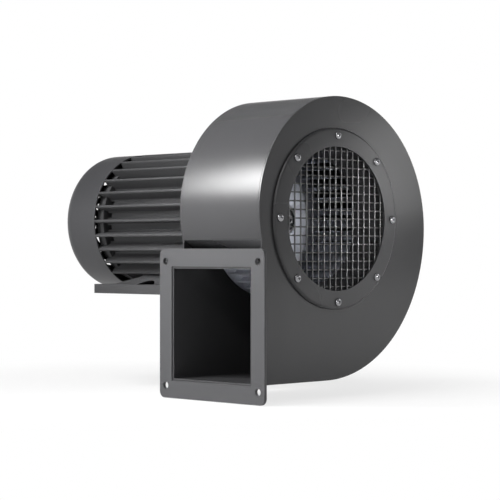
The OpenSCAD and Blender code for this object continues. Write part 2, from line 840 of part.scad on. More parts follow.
// The coils' end turns, one round ring at each end of the core
module armature_windings() {
    core_in = 14;
    thick = winding_l;
    color([0.65, 0.35, 0.18]) place() {
        for (y = [core_y - thick - fit, core_end + fit]) turned()
            polygon([
                [core_in, y], [winding_r - 3, y], [winding_r, y + 3],
                [winding_r, y + thick - 3], [winding_r - 3, y + thick], [core_in, y + thick],
            ]);
    }
}

module commutator() {
    shaft_r = bearing_bore / 2 + 2 + fit;
    bar_gap = 0.6;
    color([0.72, 0.45, 0.25]) place() slab(commutator_y, commutator_l) difference() {
        circle(commutator_d / 2);
        circle(shaft_r);
        for (i = [0 : bar_n - 1]) rotate(360 * i / bar_n)
            translate([commutator_d / 2 - 1, -bar_gap / 2]) square([2, bar_gap]);
    }
}

// Insulating ring, screwed to the rear end shield, that carries the brushes
module brush_yoke() {
    color([0.35, 0.22, 0.12]) place() difference() {
        tube(frame_bore / 2 - 1, commutator_d / 2 + 6, yoke_y, yoke_y + yoke_t);
        on_circle(tie_r, 4, 45) rod(tie_d / 2 + hole_gap, yoke_y - 1, yoke_y + yoke_t + 1);
    }
}

module brush_holders() {
    outer = [brush_h, brush_w] + 2 * [holder_wall + fit, holder_wall + fit];
    inner = [brush_h, brush_w] + 2 * [fit, fit];
    color([0.75, 0.6, 0.25]) place() around(2) translate([holder_in, brush_y, 0])
        rotate([0, 90, 0]) difference() {
            linear_extrude(holder_out - holder_in) square([outer[1], outer[0]], center = true);
            translate([0, 0, -1]) linear_extrude(holder_out - holder_in - holder_wall + 1)
                square([inner[1], inner[0]], center = true);
        }
}

module brushes() {
    color([0.2, 0.2, 0.2]) place() around(2)
        translate([brush_in, brush_y - brush_h / 2, -brush_w / 2]) cube([brush_l, brush_h, brush_w]);
}

// Compression springs behind the brushes, shown as closed sleeves
module brush_springs() {
    start = brush_in + brush_l;
    color([0.7, 0.7, 0.7]) place() around(2) translate([start, brush_y, 0])
        rotate([0, 90, 0]) difference() {
            cylinder(d = spring_d, h = holder_out - holder_wall - start);
            translate([0, 0, -1]) cylinder(d = spring_d - 2 * spring_wall, h = far);
        }
}

// ---- cooling

module cooling_fan() {
    hub_r = 12;
    vane_t = 2.4;
    web_t = 2;
    color([0.2, 0.2, 0.21]) place() difference() {
        union() {
            rod(hub_r, fan_y, fan_y + fan_w);
            rod(fan_d / 2, fan_y, fan_y + web_t);
            around(fan_blades) translate([hub_r - 1, fan_y + web_t / 2, -vane_t / 2])
                cube([fan_d / 2 - hub_r, fan_w - web_t / 2, vane_t]);
        }
        rod(shaft_d / 2 + fit / 2, fan_y - 1, fan_y + fan_w + 1);
    }
}

module fan_circlip() {
    y = fan_y + fan_w;
    color([0.5, 0.5, 0.52]) place() tube(shaft_d / 2 + 3, shaft_d / 2 + fit, y, y + 1);
}

// Deep-drawn cowl with rings of air slots in its closed end
module fan_cowl() {
    r = cowl_d / 2;
    steps = 8;
    function corner(radius) = [for (i = [0 : steps]) let (a = 90 * i / steps)
        [r - cowl_round + radius * cos(a), cowl_end - cowl_round + radius * sin(a)]];
    outer = corner(cowl_round);
    inner = corner(cowl_round - cowl_t);
    slot_ribs = 8;
    first_slot = 16;
    slot_step = 2 * slot_w;
    color([0.42, 0.42, 0.43]) place() difference() {
        turned() polygon(concat(
            [[r, cowl_y]],
            outer,
            [[0, cowl_end], [0, cowl_end - cowl_t]],
            [for (i = [steps : -1 : 0]) inner[i]],
            [[r - cowl_t, cowl_y]]
        ));
        difference() {
            for (i = [0 : slot_rings - 1]) {
                slot_in = first_slot + i * slot_step;
                tube(slot_in + slot_w, slot_in, cowl_end - cowl_t - 1, cowl_end + 1);
            }
            around(slot_ribs, 180 / slot_ribs) translate([0, cowl_end - cowl_t - 2, -rib_w / 2])
                cube([far, cowl_t + 4, rib_w]);
            on_circle(post_pcd / 2, 4) rod(post_r + 2, cowl_end - cowl_t - 2, cowl_end + 2);
        }
        on_circle(post_pcd / 2, 4) rod(cowl_screw_d / 2 + hole_gap, cowl_end - cowl_t - 1, cowl_end + 1);
    }
}

module cowl_screws() {
    color("silver") place() on_circle(post_pcd / 2, 4)
        screw(cowl_screw_d, 1.85 * cowl_screw_d, 0.6 * cowl_screw_d, cowl_end, cowl_screw_l, -1);
}

// ---- feet

// The line of a foot screw: out from the shaft through the saddle of side -1 (left) or 1 (right)
module foot_screw_line(side, y) {
    translate([0, y, 0]) rotate([0, 180 - side * (90 - foot_screw_angle), 0]) children();
}

// The saddle seen along the shaft, for the left side, from the frame down to the rail
module saddle_section() {
    low = [-cos(leg_low), -sin(leg_low)];
    high = [-cos(leg_high), -sin(leg_high)];
    shoulder = foot_w / 5;
    toe = -rail_x + foot_w / 4;
    polygon([
        high * (root_r - leg_bite),
        high * (root_r + leg_lip),
        [-rail_in - shoulder, rail_top + saddle_rise],
        [toe, rail_top],
        [toe, rail_top - 1],
        [-rail_in, rail_top - foot_t / 3],
        low * (root_r + leg_root),
        low * (root_r - leg_bite),
    ]);
}

// The saddle seen from the side: ends that slope down to the rail, and an arched gap over it
module saddle_side() {
    half = saddle_l / 2;
    shoulder_z = rail_top + saddle_rise;
    arch_r = (arch_w * arch_w / 4 + arch_h * arch_h) / (2 * arch_h);
    difference() {
        polygon([
            [-half - saddle_slope, foot_z + 1],
            [-half - saddle_slope, rail_top],
            [-half, shoulder_z],
            [-half, 0],
            [half, 0],
            [half, shoulder_z],
            [half + saddle_slope, rail_top],
            [half + saddle_slope, foot_z + 1],
        ]);
        intersection() {
            translate([0, rail_top + arch_h - arch_r]) circle(arch_r);
            translate([-far / 2, rail_top]) square([far, far]);
        }
    }
}

// One foot, drawn for the left side: a rail, and a cast saddle that takes the frame
module foot() {
    rail_l = foot_b + foot_front + foot_rear;
    difference() {
        union() {
            translate([-rail_x, foot_y - foot_b / 2 - foot_front, foot_z]) cube([foot_w, rail_l, foot_t]);
            intersection() {
                slab(foot_y - far / 2, far) saddle_section();
                translate([-far / 2, saddle_y, 0]) rotate([90, 0, 90])
                    linear_extrude(far / 2) saddle_side();
            }
        }
        rod(root_r + fit, foot_y - far / 2, foot_y + far / 2);
        for (y = [-1, 1]) translate([-foot_a / 2, foot_y + y * foot_b / 2, foot_z - 1])
            cylinder(d = foot_hole_d, h = foot_t + 2);
        for (y = foot_screws_y) foot_screw_line(-1, y) {
            cylinder(r = foot_screw_d / 2 + hole_gap, h = far / 2);
            translate([0, 0, foot_seat_r]) cylinder(r = foot_head_r + hole_gap, h = far / 2);
        }
    }
}

module left_foot() { color([0.4, 0.4, 0.41]) place() foot(); }
module right_foot() { color([0.4, 0.4, 0.41]) place() mirror([1, 0, 0]) foot(); }

module foot_screws() {
    color("silver") place() for (side = [-1, 1], y = foot_screws_y) foot_screw_line(side, y) {
        translate([0, 0, foot_thread_r]) cylinder(d = foot_screw_d, h = foot_seat_r - foot_thread_r);
        translate([0, 0, foot_seat_r]) cylinder(r = foot_head_r, h = foot_head_h);
    }
}

module cable_gland() {
    thread_x = gland_x - gland_thread_l;
    color([0.15, 0.15, 0.15]) place() translate([0, gland_y, 0]) rotate([0, 90, 0]) difference() {
        union() {
            translate([0, 0, thread_x]) cylinder(r = gland_r, h = gland_thread_l + 1);
            translate([0, 0, gland_x]) cylinder(r = gland_hex_r, h = gland_hex_h, $fn = 6);
            translate([0, 0, gland_x + gland_hex_h])
                cylinder(r1 = gland_dome_r, r2 = gland_hole_r + 3, h = gland_dome_h);
        }
        cylinder(r = gland_hole_r, h = far);
    }
}

inlet_side_plate();
motor_side_plate();
scroll_wrapper();
cut_off_sheet();
outlet_flange();
inlet_cone();
guard_ring();
guard_mesh();
guard_screws();
guard_nuts();
impeller_front_ring();
impeller_blades();
impeller_back_disc();
impeller_hub();
hub_rivets();
hub_washer();
hub_end_screw();
shaft_key();
motor_shaft();
front_bearing_inner();
front_bearing_outer();
front_bearing_balls();
rear_bearing_inner();
rear_bearing_outer();
rear_bearing_balls();
front_end_shield();
flange_bolts();
motor_frame();
rear_end_shield();
tie_bolts();
field_magnets();
armature_core();
armature_windings();
commutator();
brush_yoke();
brush_holders();
brushes();
brush_springs();
cooling_fan();
fan_circlip();
fan_cowl();
cowl_screws();
left_foot();
right_foot();
foot_screws();
cable_gland();
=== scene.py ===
# %% [markdown]
# # A foot-mounted centrifugal blower
# A direct-current motor turns a drum of small blades inside a scroll-shaped sheet-steel housing.
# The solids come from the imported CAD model. This script dresses them: it models the pieces whose
# edges and surfaces catch the light, gives every solid a finish, and sets up a small studio.

# %% Load the frame
import json
import math

import bmesh
import bpy
from mathutils import Matrix, Vector


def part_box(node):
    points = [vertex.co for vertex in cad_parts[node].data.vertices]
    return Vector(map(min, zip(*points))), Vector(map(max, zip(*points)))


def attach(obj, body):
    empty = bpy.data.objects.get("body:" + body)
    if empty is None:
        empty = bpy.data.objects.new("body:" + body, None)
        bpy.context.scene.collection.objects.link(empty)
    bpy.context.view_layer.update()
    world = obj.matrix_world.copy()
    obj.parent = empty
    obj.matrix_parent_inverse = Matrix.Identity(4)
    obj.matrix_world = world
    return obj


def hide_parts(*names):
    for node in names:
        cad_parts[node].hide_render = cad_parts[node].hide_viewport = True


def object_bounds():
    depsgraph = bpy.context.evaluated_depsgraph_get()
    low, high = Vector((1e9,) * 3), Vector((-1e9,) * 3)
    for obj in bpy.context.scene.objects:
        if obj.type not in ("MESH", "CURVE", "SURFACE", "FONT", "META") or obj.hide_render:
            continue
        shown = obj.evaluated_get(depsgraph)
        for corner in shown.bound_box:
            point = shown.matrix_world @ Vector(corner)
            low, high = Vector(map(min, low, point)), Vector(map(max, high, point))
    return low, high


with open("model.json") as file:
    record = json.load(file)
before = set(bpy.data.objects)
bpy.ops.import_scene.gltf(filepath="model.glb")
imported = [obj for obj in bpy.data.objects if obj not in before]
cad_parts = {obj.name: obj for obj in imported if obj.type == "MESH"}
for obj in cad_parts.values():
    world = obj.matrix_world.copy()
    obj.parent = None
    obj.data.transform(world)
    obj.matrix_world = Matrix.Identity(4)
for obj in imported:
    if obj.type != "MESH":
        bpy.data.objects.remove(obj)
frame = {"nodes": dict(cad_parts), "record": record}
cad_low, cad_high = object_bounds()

MM = 0.001
nodes = frame["nodes"]
print("the frame has", len(nodes), "solids; its box is",
      [round((b - a) / MM, 1) for a, b in zip(cad_low, cad_high)], "mm")

# %% [markdown]
# ## Where things are
# All places come from the CAD nodes' boxes, so that a changed size in the CAD source moves the
# dressed pieces too. The shaft runs along Y, and the guard ring is centred on it, so the ring's
# box gives the shaft's line. Lengths along the shaft start at the inlet side plate's face.

# %% Read the places from the boxes
ring_low, ring_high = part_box("guard_ring")
SHAFT_Z = (ring_low.z + ring_high.z) / 2
FACE_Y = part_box("inlet_side_plate")[0].y


def at(x, y, z):
    """A point given in millimetres from the shaft's line and the inlet plate's face."""
    return Vector((x * MM, FACE_Y + y * MM, SHAFT_Z + z * MM))


def points_of(name):
    """A solid's corner points, in the millimetres that `at` takes."""
    return [(v.co - at(0, 0, 0)) / MM for v in nodes[name].data.vertices]


def radii(name):
    """Least and greatest distance of a solid's points from the shaft's line."""
    away = [math.hypot(p.x, p.z) for p in points_of(name)]
    return min(away), max(away)


def span(name):
    """Where a solid starts and ends along the shaft."""
    low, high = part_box(name)
    return (low.y - FACE_Y) / MM, (high.y - FACE_Y) / MM


print("shaft height", round(SHAFT_Z / MM, 2), "mm; inlet face at", round(FACE_Y / MM, 2), "mm")
print("side plates", span("inlet_side_plate"), span("motor_side_plate"))

# %% [markdown]
# ## Writing shader maths as Python
# A material is a graph of nodes. It could be wired link by link, but in code that is long and
# hard to read. So one small class wraps a socket: adding or multiplying two of them adds the
# Math node that does it. Any other node comes from its `node` method, which sets the node's
# settings first and then its sockets, by name or, as i0 and i1, by number.

# %% The socket class
class Wire:
    """A socket of a material's node tree, with arithmetic that adds Math nodes."""

    def __init__(self, tree, socket=None):
        self.tree, self.socket = tree, socket

    def node(self, kind, settings=None, out=0, **links):
        """Adds a node: its settings first, then the values or links of its sockets."""
        made = self.tree.nodes.new(kind)
        for key, value in (settings or {}).items():
            setattr(made, key, value)
        for key, value in links.items():
            slot = made.inputs[int(key[1:]) if key[1:].isdigit() else key.replace("_", " ")]
            if isinstance(value, Wire):
                self.tree.links.new(value.socket, slot)
            else:
                slot.default_value = value
        return Wire(self.tree, made.outputs[out])

    def outputs(self):
        """All outputs of the node that this socket is on, by their names."""
        return {out.name: Wire(self.tree, out) for out in self.socket.node.outputs}

    def maths(self, operation, *values):
        """A Math node on one, two or three values."""
        return self.node("ShaderNodeMath", {"operation": operation},
                         **{f"i{i}": v for i, v in enumerate(values)})

    def __add__(self, other): return self.maths("ADD", self, other)
    def __radd__(self, other): return self.maths("ADD", other, self)
    def __mul__(self, other): return self.maths("MULTIPLY", self, other)
    def __rmul__(self, other): return self.maths("MULTIPLY", other, self)

    def between(self, low, high):
        """0 below low, 1 above high, smooth in between."""
        return self.node("ShaderNodeMapRange", {"interpolation_type": "SMOOTHSTEP"},
                         Value=self, From_Min=low, From_Max=high)

    def blend(self, first, second):
        """A colour between two, where self is 0 and 1."""
        return self.node("ShaderNodeMix", {"data_type": "RGBA"}, out=2,
                         i0=self, i6=first, i7=second)

    def noise(self, where, scale, detail=2.0, rough=0.5):
        """A cloudy pattern from 0 to 1, with that many waves to the metre."""
        return self.node("ShaderNodeTexNoise", Vector=where, Scale=scale, Detail=detail,
                         Roughness=rough)


def shade(colour, factor=1.0):
    """An RGBA colour, made lighter or darker."""
    return tuple(c * factor for c in colour) + (1.0,)


# %% [markdown]
# ## Finishes
# Each finish is one function that fills a Principled shader. It reads Object coordinates, which
# are metres in the shared frame, so a scale of 1000 gives features of about a millimetre on
# every piece alike, and a pattern runs on from one piece to the next.

# %% Start a material
def finish(name, roughness, metallic=0.0, specular=0.5):
    """A new material with the plain numbers set, its shader, a Wire and its coordinates."""
    made = bpy.data.materials.new(name)
    made.use_nodes = True
    shader = made.node_tree.nodes["Principled BSDF"]
    shader.inputs["Roughness"].default_value = roughness
    shader.inputs["Metallic"].default_value = metallic
    shader.inputs["Specular IOR Level"].default_value = specular
    wire = Wire(made.node_tree)
    place = wire.node("ShaderNodeTexCoord", out=3)
    return made, shader, wire, place


def feed(wire, shader, **sockets):
    """Links what changes over the surface to the shader's sockets."""
    for key, value in sockets.items():
        wire.tree.links.new(value.socket, shader.inputs[key.replace("_", " ")])


def stretched(wire, place, x=1.0, y=1.0, z=1.0):
    """Object coordinates squeezed along an axis, for grain that runs one way."""
    return wire.node("ShaderNodeMapping", Vector=place, Scale=(x, y, z))


# %% [markdown]
# ## Powder coat
# The housing is powder-coated: the powder melts into a semi-gloss film with a faint orange peel,
# and a clean flat colour would look like plastic foil. Slow noise makes the tone and the gloss
# drift a little across a sheet, and the finest is the powder's grain. A bump from that grain and
# a middling noise is the peel. Each part has its own gloss, because flat sheet, pressed rings and
# castings take the film differently. The motor's casting shows its coarser skin under the paint.

# %% Powder coat
CLOUD, SKIN, PEEL, GRAIN = 9.0, 230.0, 620.0, 1500.0


def powder_coat(name, colour, roughness, peel=0.10, specular=0.4, cast=0.0):
    """Paint with orange peel; cast adds the coarser skin of a die casting under it."""
    made, shader, wire, place = finish(name, roughness, specular=specular)
    cloud = wire.noise(place, CLOUD)
    speck = wire.noise(place, GRAIN, 1.0)
    tone = cloud * 0.7 + speck * 0.3
    feed(wire, shader,
         Base_Color=tone.blend(shade(colour, 0.90), shade(colour, 1.10)),
         Roughness=roughness - 0.04 + cloud * 0.08)
    skin = wire.noise(place, PEEL) + speck * 0.25
    if cast:
        skin = skin + wire.noise(place, SKIN, 3.0) * cast
    feed(wire, shader, Normal=wire.node("ShaderNodeBump", Strength=peel, Distance=0.0004,
                                        Height=skin))
    return made


PAINT = (0.042, 0.042, 0.044)
housing_paint = powder_coat("housing_powder_coat", PAINT, 0.26, specular=0.25)
flange_paint = powder_coat("flange_powder_coat", (0.059, 0.059, 0.062), 0.42, specular=0.22)
guard_paint = powder_coat("guard_powder_coat", PAINT, 0.28, specular=0.22)
motor_paint = powder_coat("motor_paint", (0.058, 0.058, 0.060), 0.50, 0.16, 0.04, cast=1.2)
cowl_paint = powder_coat("cowl_powder_coat", (0.044, 0.044, 0.047), 0.40, specular=0.26)
print("paints:", [paint.name for paint in
                  (housing_paint, flange_paint, guard_paint, motor_paint, cowl_paint)])

# %% [markdown]
# ## Bare metals
# Zinc-plated screws are bright with a slight haze. Galvanised sheet shows the zinc's crystals,
# so its colour comes from a Voronoi pattern, whose cells are flat patches with sharp borders.
# Turned parts have fine rings round the shaft, which a sine of the distance from it draws. The
# guard's wires run two ways, so their fine grain is the same in all directions.

# %% Metals
def metal(name, colour, roughness, grain=(300.0, 300.0, 300.0), depth=0.05, spangle=0.0):
    """A bare metal; grain is the noise scale along X, Y and Z, and spangle its crystals' size."""
    made, shader, wire, place = finish(name, roughness, metallic=1.0)
    streak = wire.noise(stretched(wire, place, *grain), 1.0, 3.0, 0.6)
    tone = streak
    if spangle:
        crystals = wire.node("ShaderNodeTexVoronoi", out=1, Vector=place, Scale=1 / spangle)
        tone = wire.node("ShaderNodeSeparateColor", Color=crystals) * 0.8 + streak * 0.2
    feed(wire, shader,
         Base_Color=tone.blend(shade(colour, 0.80), shade(colour, 1.12)),
         Roughness=roughness - 0.06 + tone * 0.12,
         Normal=wire.node("ShaderNodeBump", Strength=depth, Distance=0.0002, Height=streak))
    return made


def turned_metal(name, colour, roughness, pitch=0.00035):
    """Metal turned on a lathe about the shaft: faint rings at the tool's feed."""
    made, shader, wire, place = finish(name, roughness, metallic=1.0)
    centred = wire.node("ShaderNodeMapping", Vector=place, Location=(0, 0, -SHAFT_Z))
    parts = wire.node("ShaderNodeSeparateXYZ", Vector=centred).outputs()
    radius = wire.maths("SQRT", parts["X"] * parts["X"] + parts["Z"] * parts["Z"])
    rings = wire.maths("SINE", (radius + parts["Y"]) * (2 * math.pi / pitch))
    haze = wire.noise(place, 90.0, 3.0)
    feed(wire, shader,
         Base_Color=haze.blend(shade(colour, 0.86), shade(colour, 1.08)),
         Roughness=roughness + rings * 0.03 + haze * 0.05,
         Normal=wire.node("ShaderNodeBump", Strength=0.12, Distance=0.00005, Height=rings))
    return made


zinc = metal("bright_zinc_plate", (0.27, 0.27, 0.282), 0.20)
galvanised = metal("galvanised_sheet", (0.42, 0.43, 0.48), 0.60, spangle=0.009)
guard_wire = metal("drawn_guard_wire", (0.10, 0.10, 0.102), 0.38, (900.0, 900.0, 900.0))
aluminium = turned_metal("turned_aluminium", (0.66, 0.66, 0.68), 0.28)
ground_steel = turned_metal("ground_steel", (0.62, 0.62, 0.64), 0.16, 0.0002)
core_steel = metal("laminated_core_steel", (0.36, 0.36, 0.38), 0.42, (60.0, 2200.0, 60.0), 0.3)
copper = metal("copper", (0.72, 0.33, 0.18), 0.30, (200.0, 1500.0, 200.0), 0.15)
brass = metal("brass", (0.72, 0.53, 0.22), 0.28)
spring_steel = metal("spring_steel", (0.5, 0.5, 0.52), 0.25)
print("metals:", [bare.name for bare in (zinc, galvanised, guard_wire, aluminium, ground_steel,
                                         core_steel, copper, brass, spring_steel)])

# %% [markdown]
# ## Plastics, board and sintered parts
# Moulded nylon has a fine spark-eroded texture. The brush ring is cloth-filled phenolic board.
# Ferrite magnets and carbon brushes are matt and slightly grainy. All of them are two close
# tones mixed by a fine noise, so one function makes them. For the board it multiplies two waves
# that cross, which gives the threads of the cloth.

# %% Dull materials
def dull(name, dark, light, roughness, size, depth=0.2, weave=0.0):
    """A matt material: grains of that size, or a cloth weave at that pitch."""
    made, shader, wire, place = finish(name, roughness)
    grain = wire.noise(place, 1 / size, 3.0, 0.6)
    if weave:
        across = wire.node("ShaderNodeTexWave", {"bands_direction": "X"}, out=1,
                           Vector=place, Scale=0.3 / weave)
        along = wire.node("ShaderNodeTexWave", {"bands_direction": "Z"}, out=1,
                          Vector=place, Scale=0.3 / weave)
        grain = across * along * 0.6 + grain * 0.4
    feed(wire, shader,
         Base_Color=grain.blend(shade(dark), shade(light)),
         Roughness=roughness - 0.05 + grain * 0.1,
         Normal=wire.node("ShaderNodeBump", Strength=depth, Distance=0.0002, Height=grain))
    return made


nylon = dull("black_nylon", (0.012, 0.012, 0.013), (0.03, 0.03, 0.032), 0.45, 0.0006)
ferrite = dull("sintered_ferrite", (0.05, 0.05, 0.055), (0.09, 0.09, 0.095), 0.6, 0.001)
carbon = dull("brush_carbon", (0.02, 0.02, 0.02), (0.05, 0.05, 0.05), 0.5, 0.0005)
phenolic = dull("phenolic_board", (0.16, 0.07, 0.03), (0.26, 0.13, 0.06), 0.42, 0.001, 0.1, 0.001)
print("dull materials:", [matt.name for matt in (nylon, ferrite, carbon, phenolic)])

# %% [markdown]
# ## Dressing the solids that stay
# A CAD node keeps its shape, and only gets a finish, a weld of its loose triangles and, where
# its edges are in sight, a fine bevel: no real edge is perfectly sharp, and the bevel is what
# catches the light. Nodes that a modelled piece replaces further down get their finish as well,
# so that no solid is ever left bare.

# %% Give each solid its finish
FINISH = {
    housing_paint: ["inlet_side_plate", "motor_side_plate", "scroll_wrapper", "cut_off_sheet"],
    flange_paint: ["outlet_flange"],
    guard_paint: ["guard_ring", "inlet_cone"],
    guard_wire: ["guard_mesh"],
    motor_paint: ["motor_frame", "front_end_shield", "rear_end_shield", "left_foot",
                  "right_foot"],
    cowl_paint: ["fan_cowl"],
    zinc: ["guard_screws", "guard_nuts", "flange_bolts", "cowl_screws", "foot_screws",
           "tie_bolts", "hub_end_screw", "hub_washer", "hub_rivets"],
    galvanised: ["impeller_front_ring", "impeller_blades", "impeller_back_disc"],
    aluminium: ["impeller_hub"],
    ground_steel: ["motor_shaft", "shaft_key", "fan_circlip", "front_bearing_inner",
                   "front_bearing_outer", "front_bearing_balls", "rear_bearing_inner",
                   "rear_bearing_outer", "rear_bearing_balls"],
    core_steel: ["armature_core"],
    ferrite: ["field_magnets"],
    copper: ["armature_windings", "commutator"],
    brass: ["brush_holders"],
    spring_steel: ["brush_springs"],
    carbon: ["brushes"],
    phenolic: ["brush_yoke"],
    nylon: ["cooling_fan", "cable_gland"],
}
for material, names in FINISH.items():
    for name in names:
        solid = nodes[name]
        solid.data.materials.clear()
        solid.data.materials.append(material)
print("finishes:", len(FINISH), "on", sum(len(n) for n in FINISH.values()), "solids")


# %% Break the sharp edges of the solids in sight
def soften(solid, width):
    """A live weld and bevel on a CAD node; its own mesh stays as it is."""
    solid.data.shade_smooth()
    weld = solid.modifiers.new("weld", "WELD")
    weld.merge_threshold = 0.00001
    bevel = solid.modifiers.new("bevel", "BEVEL")
    bevel.width, bevel.segments = width * MM, 2
    bevel.limit_method, bevel.angle_limit = "ANGLE", math.radians(28)
    bevel.harden_normals, bevel.use_clamp_overlap = True, True


SOFT_EDGES = {"front_end_shield": 0.8, "rear_end_shield": 0.5, "left_foot": 0.7,
              "right_foot": 0.7, "cut_off_sheet": 0.2, "impeller_hub": 0.5, "cooling_fan": 0.4,
              "tie_bolts": 0.3, "hub_washer": 0.2, "hub_rivets": 0.4,
              "impeller_back_disc": 0.15, "impeller_front_ring": 0.2, "guard_nuts": 0.3}
for name, width in SOFT_EDGES.items():
    soften(nodes[name], width)
print("softened the edges of", len(SOFT_EDGES), "solids")

# %% [markdown]
# ## How the pieces are modelled
# Sheet-metal work is lines, bends and turns, and so is this modelling. A piece starts as one
# vertex. Extruding the vertex draws an edge, spinning the edge sweeps a strip, and extruding the
# strip gives it its depth. The helpers below are these moves. They keep each object at the
# origin, with its place in its mesh, as the CAD nodes have it.

# %% Moves in edit mode
def begin(name, point):
    """Starts a piece as one vertex: a small plane merged to its middle, left in edit mode."""
    bpy.ops.object.select_all(action="DESELECT")
    bpy.ops.mesh.primitive_plane_add(size=MM)
    piece = bpy.context.object
    piece.name = piece.data.name = name
    bpy.ops.object.mode_set(mode="EDIT")
    bpy.ops.mesh.select_mode(type="VERT")
    bpy.ops.mesh.merge(type="CENTER")
    bpy.ops.transform.translate(value=point)
    return piece


def pull(step):
    """Extrudes what is selected by a step."""
    bpy.ops.mesh.extrude_region_move(TRANSFORM_OT_translate={"value": step})


def draw(points):
    """Draws edges from the selected first point through the others."""
    for here, there in zip(points, points[1:]):
        pull(there - here)


def sweep(degrees, steps, x=0.0, z=0.0):
    """Spins what is selected about an axis along the shaft, through x and z."""
    bpy.ops.mesh.spin(steps=steps, angle=-math.radians(degrees), center=at(x, 0, z),
                      axis=(0, 1, 0))


def stretch(factors, middle):
    """Scales what is selected about a point."""
    bpy.ops.transform.resize(value=factors, center_override=middle)


def turn(name, profile, steps=96):
    """A piece turned on the shaft's line from (radius, y) points.

    The profile is closed on itself, unless it starts and ends on the line.
    """
    points = [at(r, y, 0) for r, y in profile + (profile[:1] if profile[0][0] else [])]
    piece = begin(name, points[0])
    draw(points)
    bpy.ops.mesh.select_all(action="SELECT")
    sweep(360, steps)
    return piece


def quarter(radius, y, wide, high, step=15):
    """(radius, y) points of a quarter ellipse, from `high` before its centre to `wide` beside it."""
    turns = [math.radians(a) for a in range(0, 91, step)]
    return [(radius + wide * math.sin(a), y - high * math.cos(a)) for a in turns]


def pick(piece, kind, test):
    """Selects the edges or faces whose middle passes the test, and nothing else."""
    bpy.ops.mesh.select_mode(type=kind)
    bpy.ops.mesh.select_all(action="DESELECT")
    mesh = bmesh.from_edit_mesh(piece.data)
    for part in {"EDGE": mesh.edges, "FACE": mesh.faces}[kind]:
        points = [v.co for v in part.verts]
        if test(sum(points, Vector()) / len(points), part):
            part.select_set(True)
    bmesh.update_edit_mesh(piece.data)


# %% Moves in object mode
def modify(piece, kind, **settings):
    """Adds a modifier and applies it."""
    modifier = piece.modifiers.new(kind.lower(), kind)
    for key, value in settings.items():
        setattr(modifier, key, value)
    bpy.context.view_layer.objects.active = piece
    bpy.ops.object.modifier_apply(modifier=modifier.name)


def cut(piece, cutter):
    """Cuts a piece with another, which is used up."""
    modify(piece, "BOOLEAN", object=cutter, operation="DIFFERENCE", solver="EXACT")
    bpy.data.objects.remove(cutter)


def close(piece, edge=0.0, angle=35):
    """Merges doubles, turns the faces outwards and rounds the sharp edges."""
    bpy.context.view_layer.objects.active = piece
    bpy.ops.object.mode_set(mode="EDIT")
    bpy.ops.mesh.select_all(action="SELECT")
    bpy.ops.mesh.remove_doubles(threshold=0.002 * MM)
    bpy.ops.mesh.normals_make_consistent(inside=False)
    bpy.ops.object.mode_set(mode="OBJECT")
    piece.data.shade_smooth()
    if edge:
        modify(piece, "BEVEL", width=edge * MM, segments=2, limit_method="ANGLE",
               angle_limit=math.radians(angle), harden_normals=True)


def copied(piece, name, place):
    """A copy with its own mesh, which a matrix puts in its place."""
    twin = piece.copy()
    twin.name, twin.data = name, piece.data.copy()
    twin.data.transform(place)
    bpy.context.scene.collection.objects.link(twin)
    return twin


def joined(name, pieces):
    """Several objects made one."""
    bpy.ops.object.select_all(action="DESELECT")
    for piece in pieces:
        piece.select_set(True)
    bpy.context.view_layer.objects.active = pieces[0]
    bpy.ops.object.join()
    whole = bpy.context.object
    whole.name = whole.data.name = name
    return whole


def dress(piece, material, body, node):
    """Gives a finished piece its material and its body, and hides the solid that it stands for."""
    piece.data.materials.clear()
    piece.data.materials.append(material)
    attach(piece, body)
    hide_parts(node)
    print(piece.name, len(piece.data.polygons), "faces")


def around_shaft(degrees):
    """A turn about the shaft's line: from -X it goes up, over the top and down at +X."""
    return (Matrix.Translation((0, 0, SHAFT_Z)) @ Matrix.Rotation(math.radians(degrees), 4, "Y")
            @ Matrix.Translation((0, 0, -SHAFT_Z)))


# %% [markdown]
# ## The scroll
# The housing's outline is three arcs, each tangent to the next, and a straight floor that runs
# out to the outlet. The wrapper is one strip of sheet rolled along it. It could be a thickened
# curve, but spinning the sheet's edge about each centre keeps the arcs true and their faces
# even, which the long highlight shows. The solid's corner points give the arcs: the highest lies
# over the first two centres, the rightmost beside the last two, and the flat floor starts under
# the third. The first arc starts at the crease, the lowest point at the left above the duct.

# %% Read the scroll's arcs
rim = points_of("scroll_wrapper")
top = max(rim, key=lambda p: p.z)
right = max(rim, key=lambda p: p.x)
FLOOR_Z = min(p.z for p in rim)
FLOOR_X = max(p.x for p in rim if p.z < FLOOR_Z + 0.01)
SHEET = 2.0
DUCT_X = min(p.x for p in rim)
DUCT_TOP = (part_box("cut_off_sheet")[0].z - SHAFT_Z) / MM + SHEET
crease = min((p for p in rim if p.x < 0 and p.z > DUCT_TOP), key=lambda p: p.z + p.x / 100)
# The first centre lies under the top, as far from it as from the crease.
first_z = ((crease.x - top.x) ** 2 + crease.z ** 2 - top.z ** 2) / (2 * (crease.z - top.z))
rise = math.degrees(math.atan2(first_z - crease.z, top.x - crease.x))
ARCS = [(top.x, first_z, 90 + rise, 44), (top.x, right.z, 90, 40), (FLOOR_X, right.z, 90, 40)]
INNER_Y = span("scroll_wrapper")
print("arc centres", [(round(x, 1), round(z, 1)) for x, z, _, _ in ARCS],
      "floor at", round(FLOOR_Z, 1))


# %% Roll the wrapper
def along_scroll():
    """Sweeps what is selected round the three arcs and out to the duct's end."""
    for x, z, degrees, steps in ARCS:
        sweep(degrees, steps, x, z)
    pull(at(DUCT_X, 0, 0) - at(FLOOR_X, 0, 0))


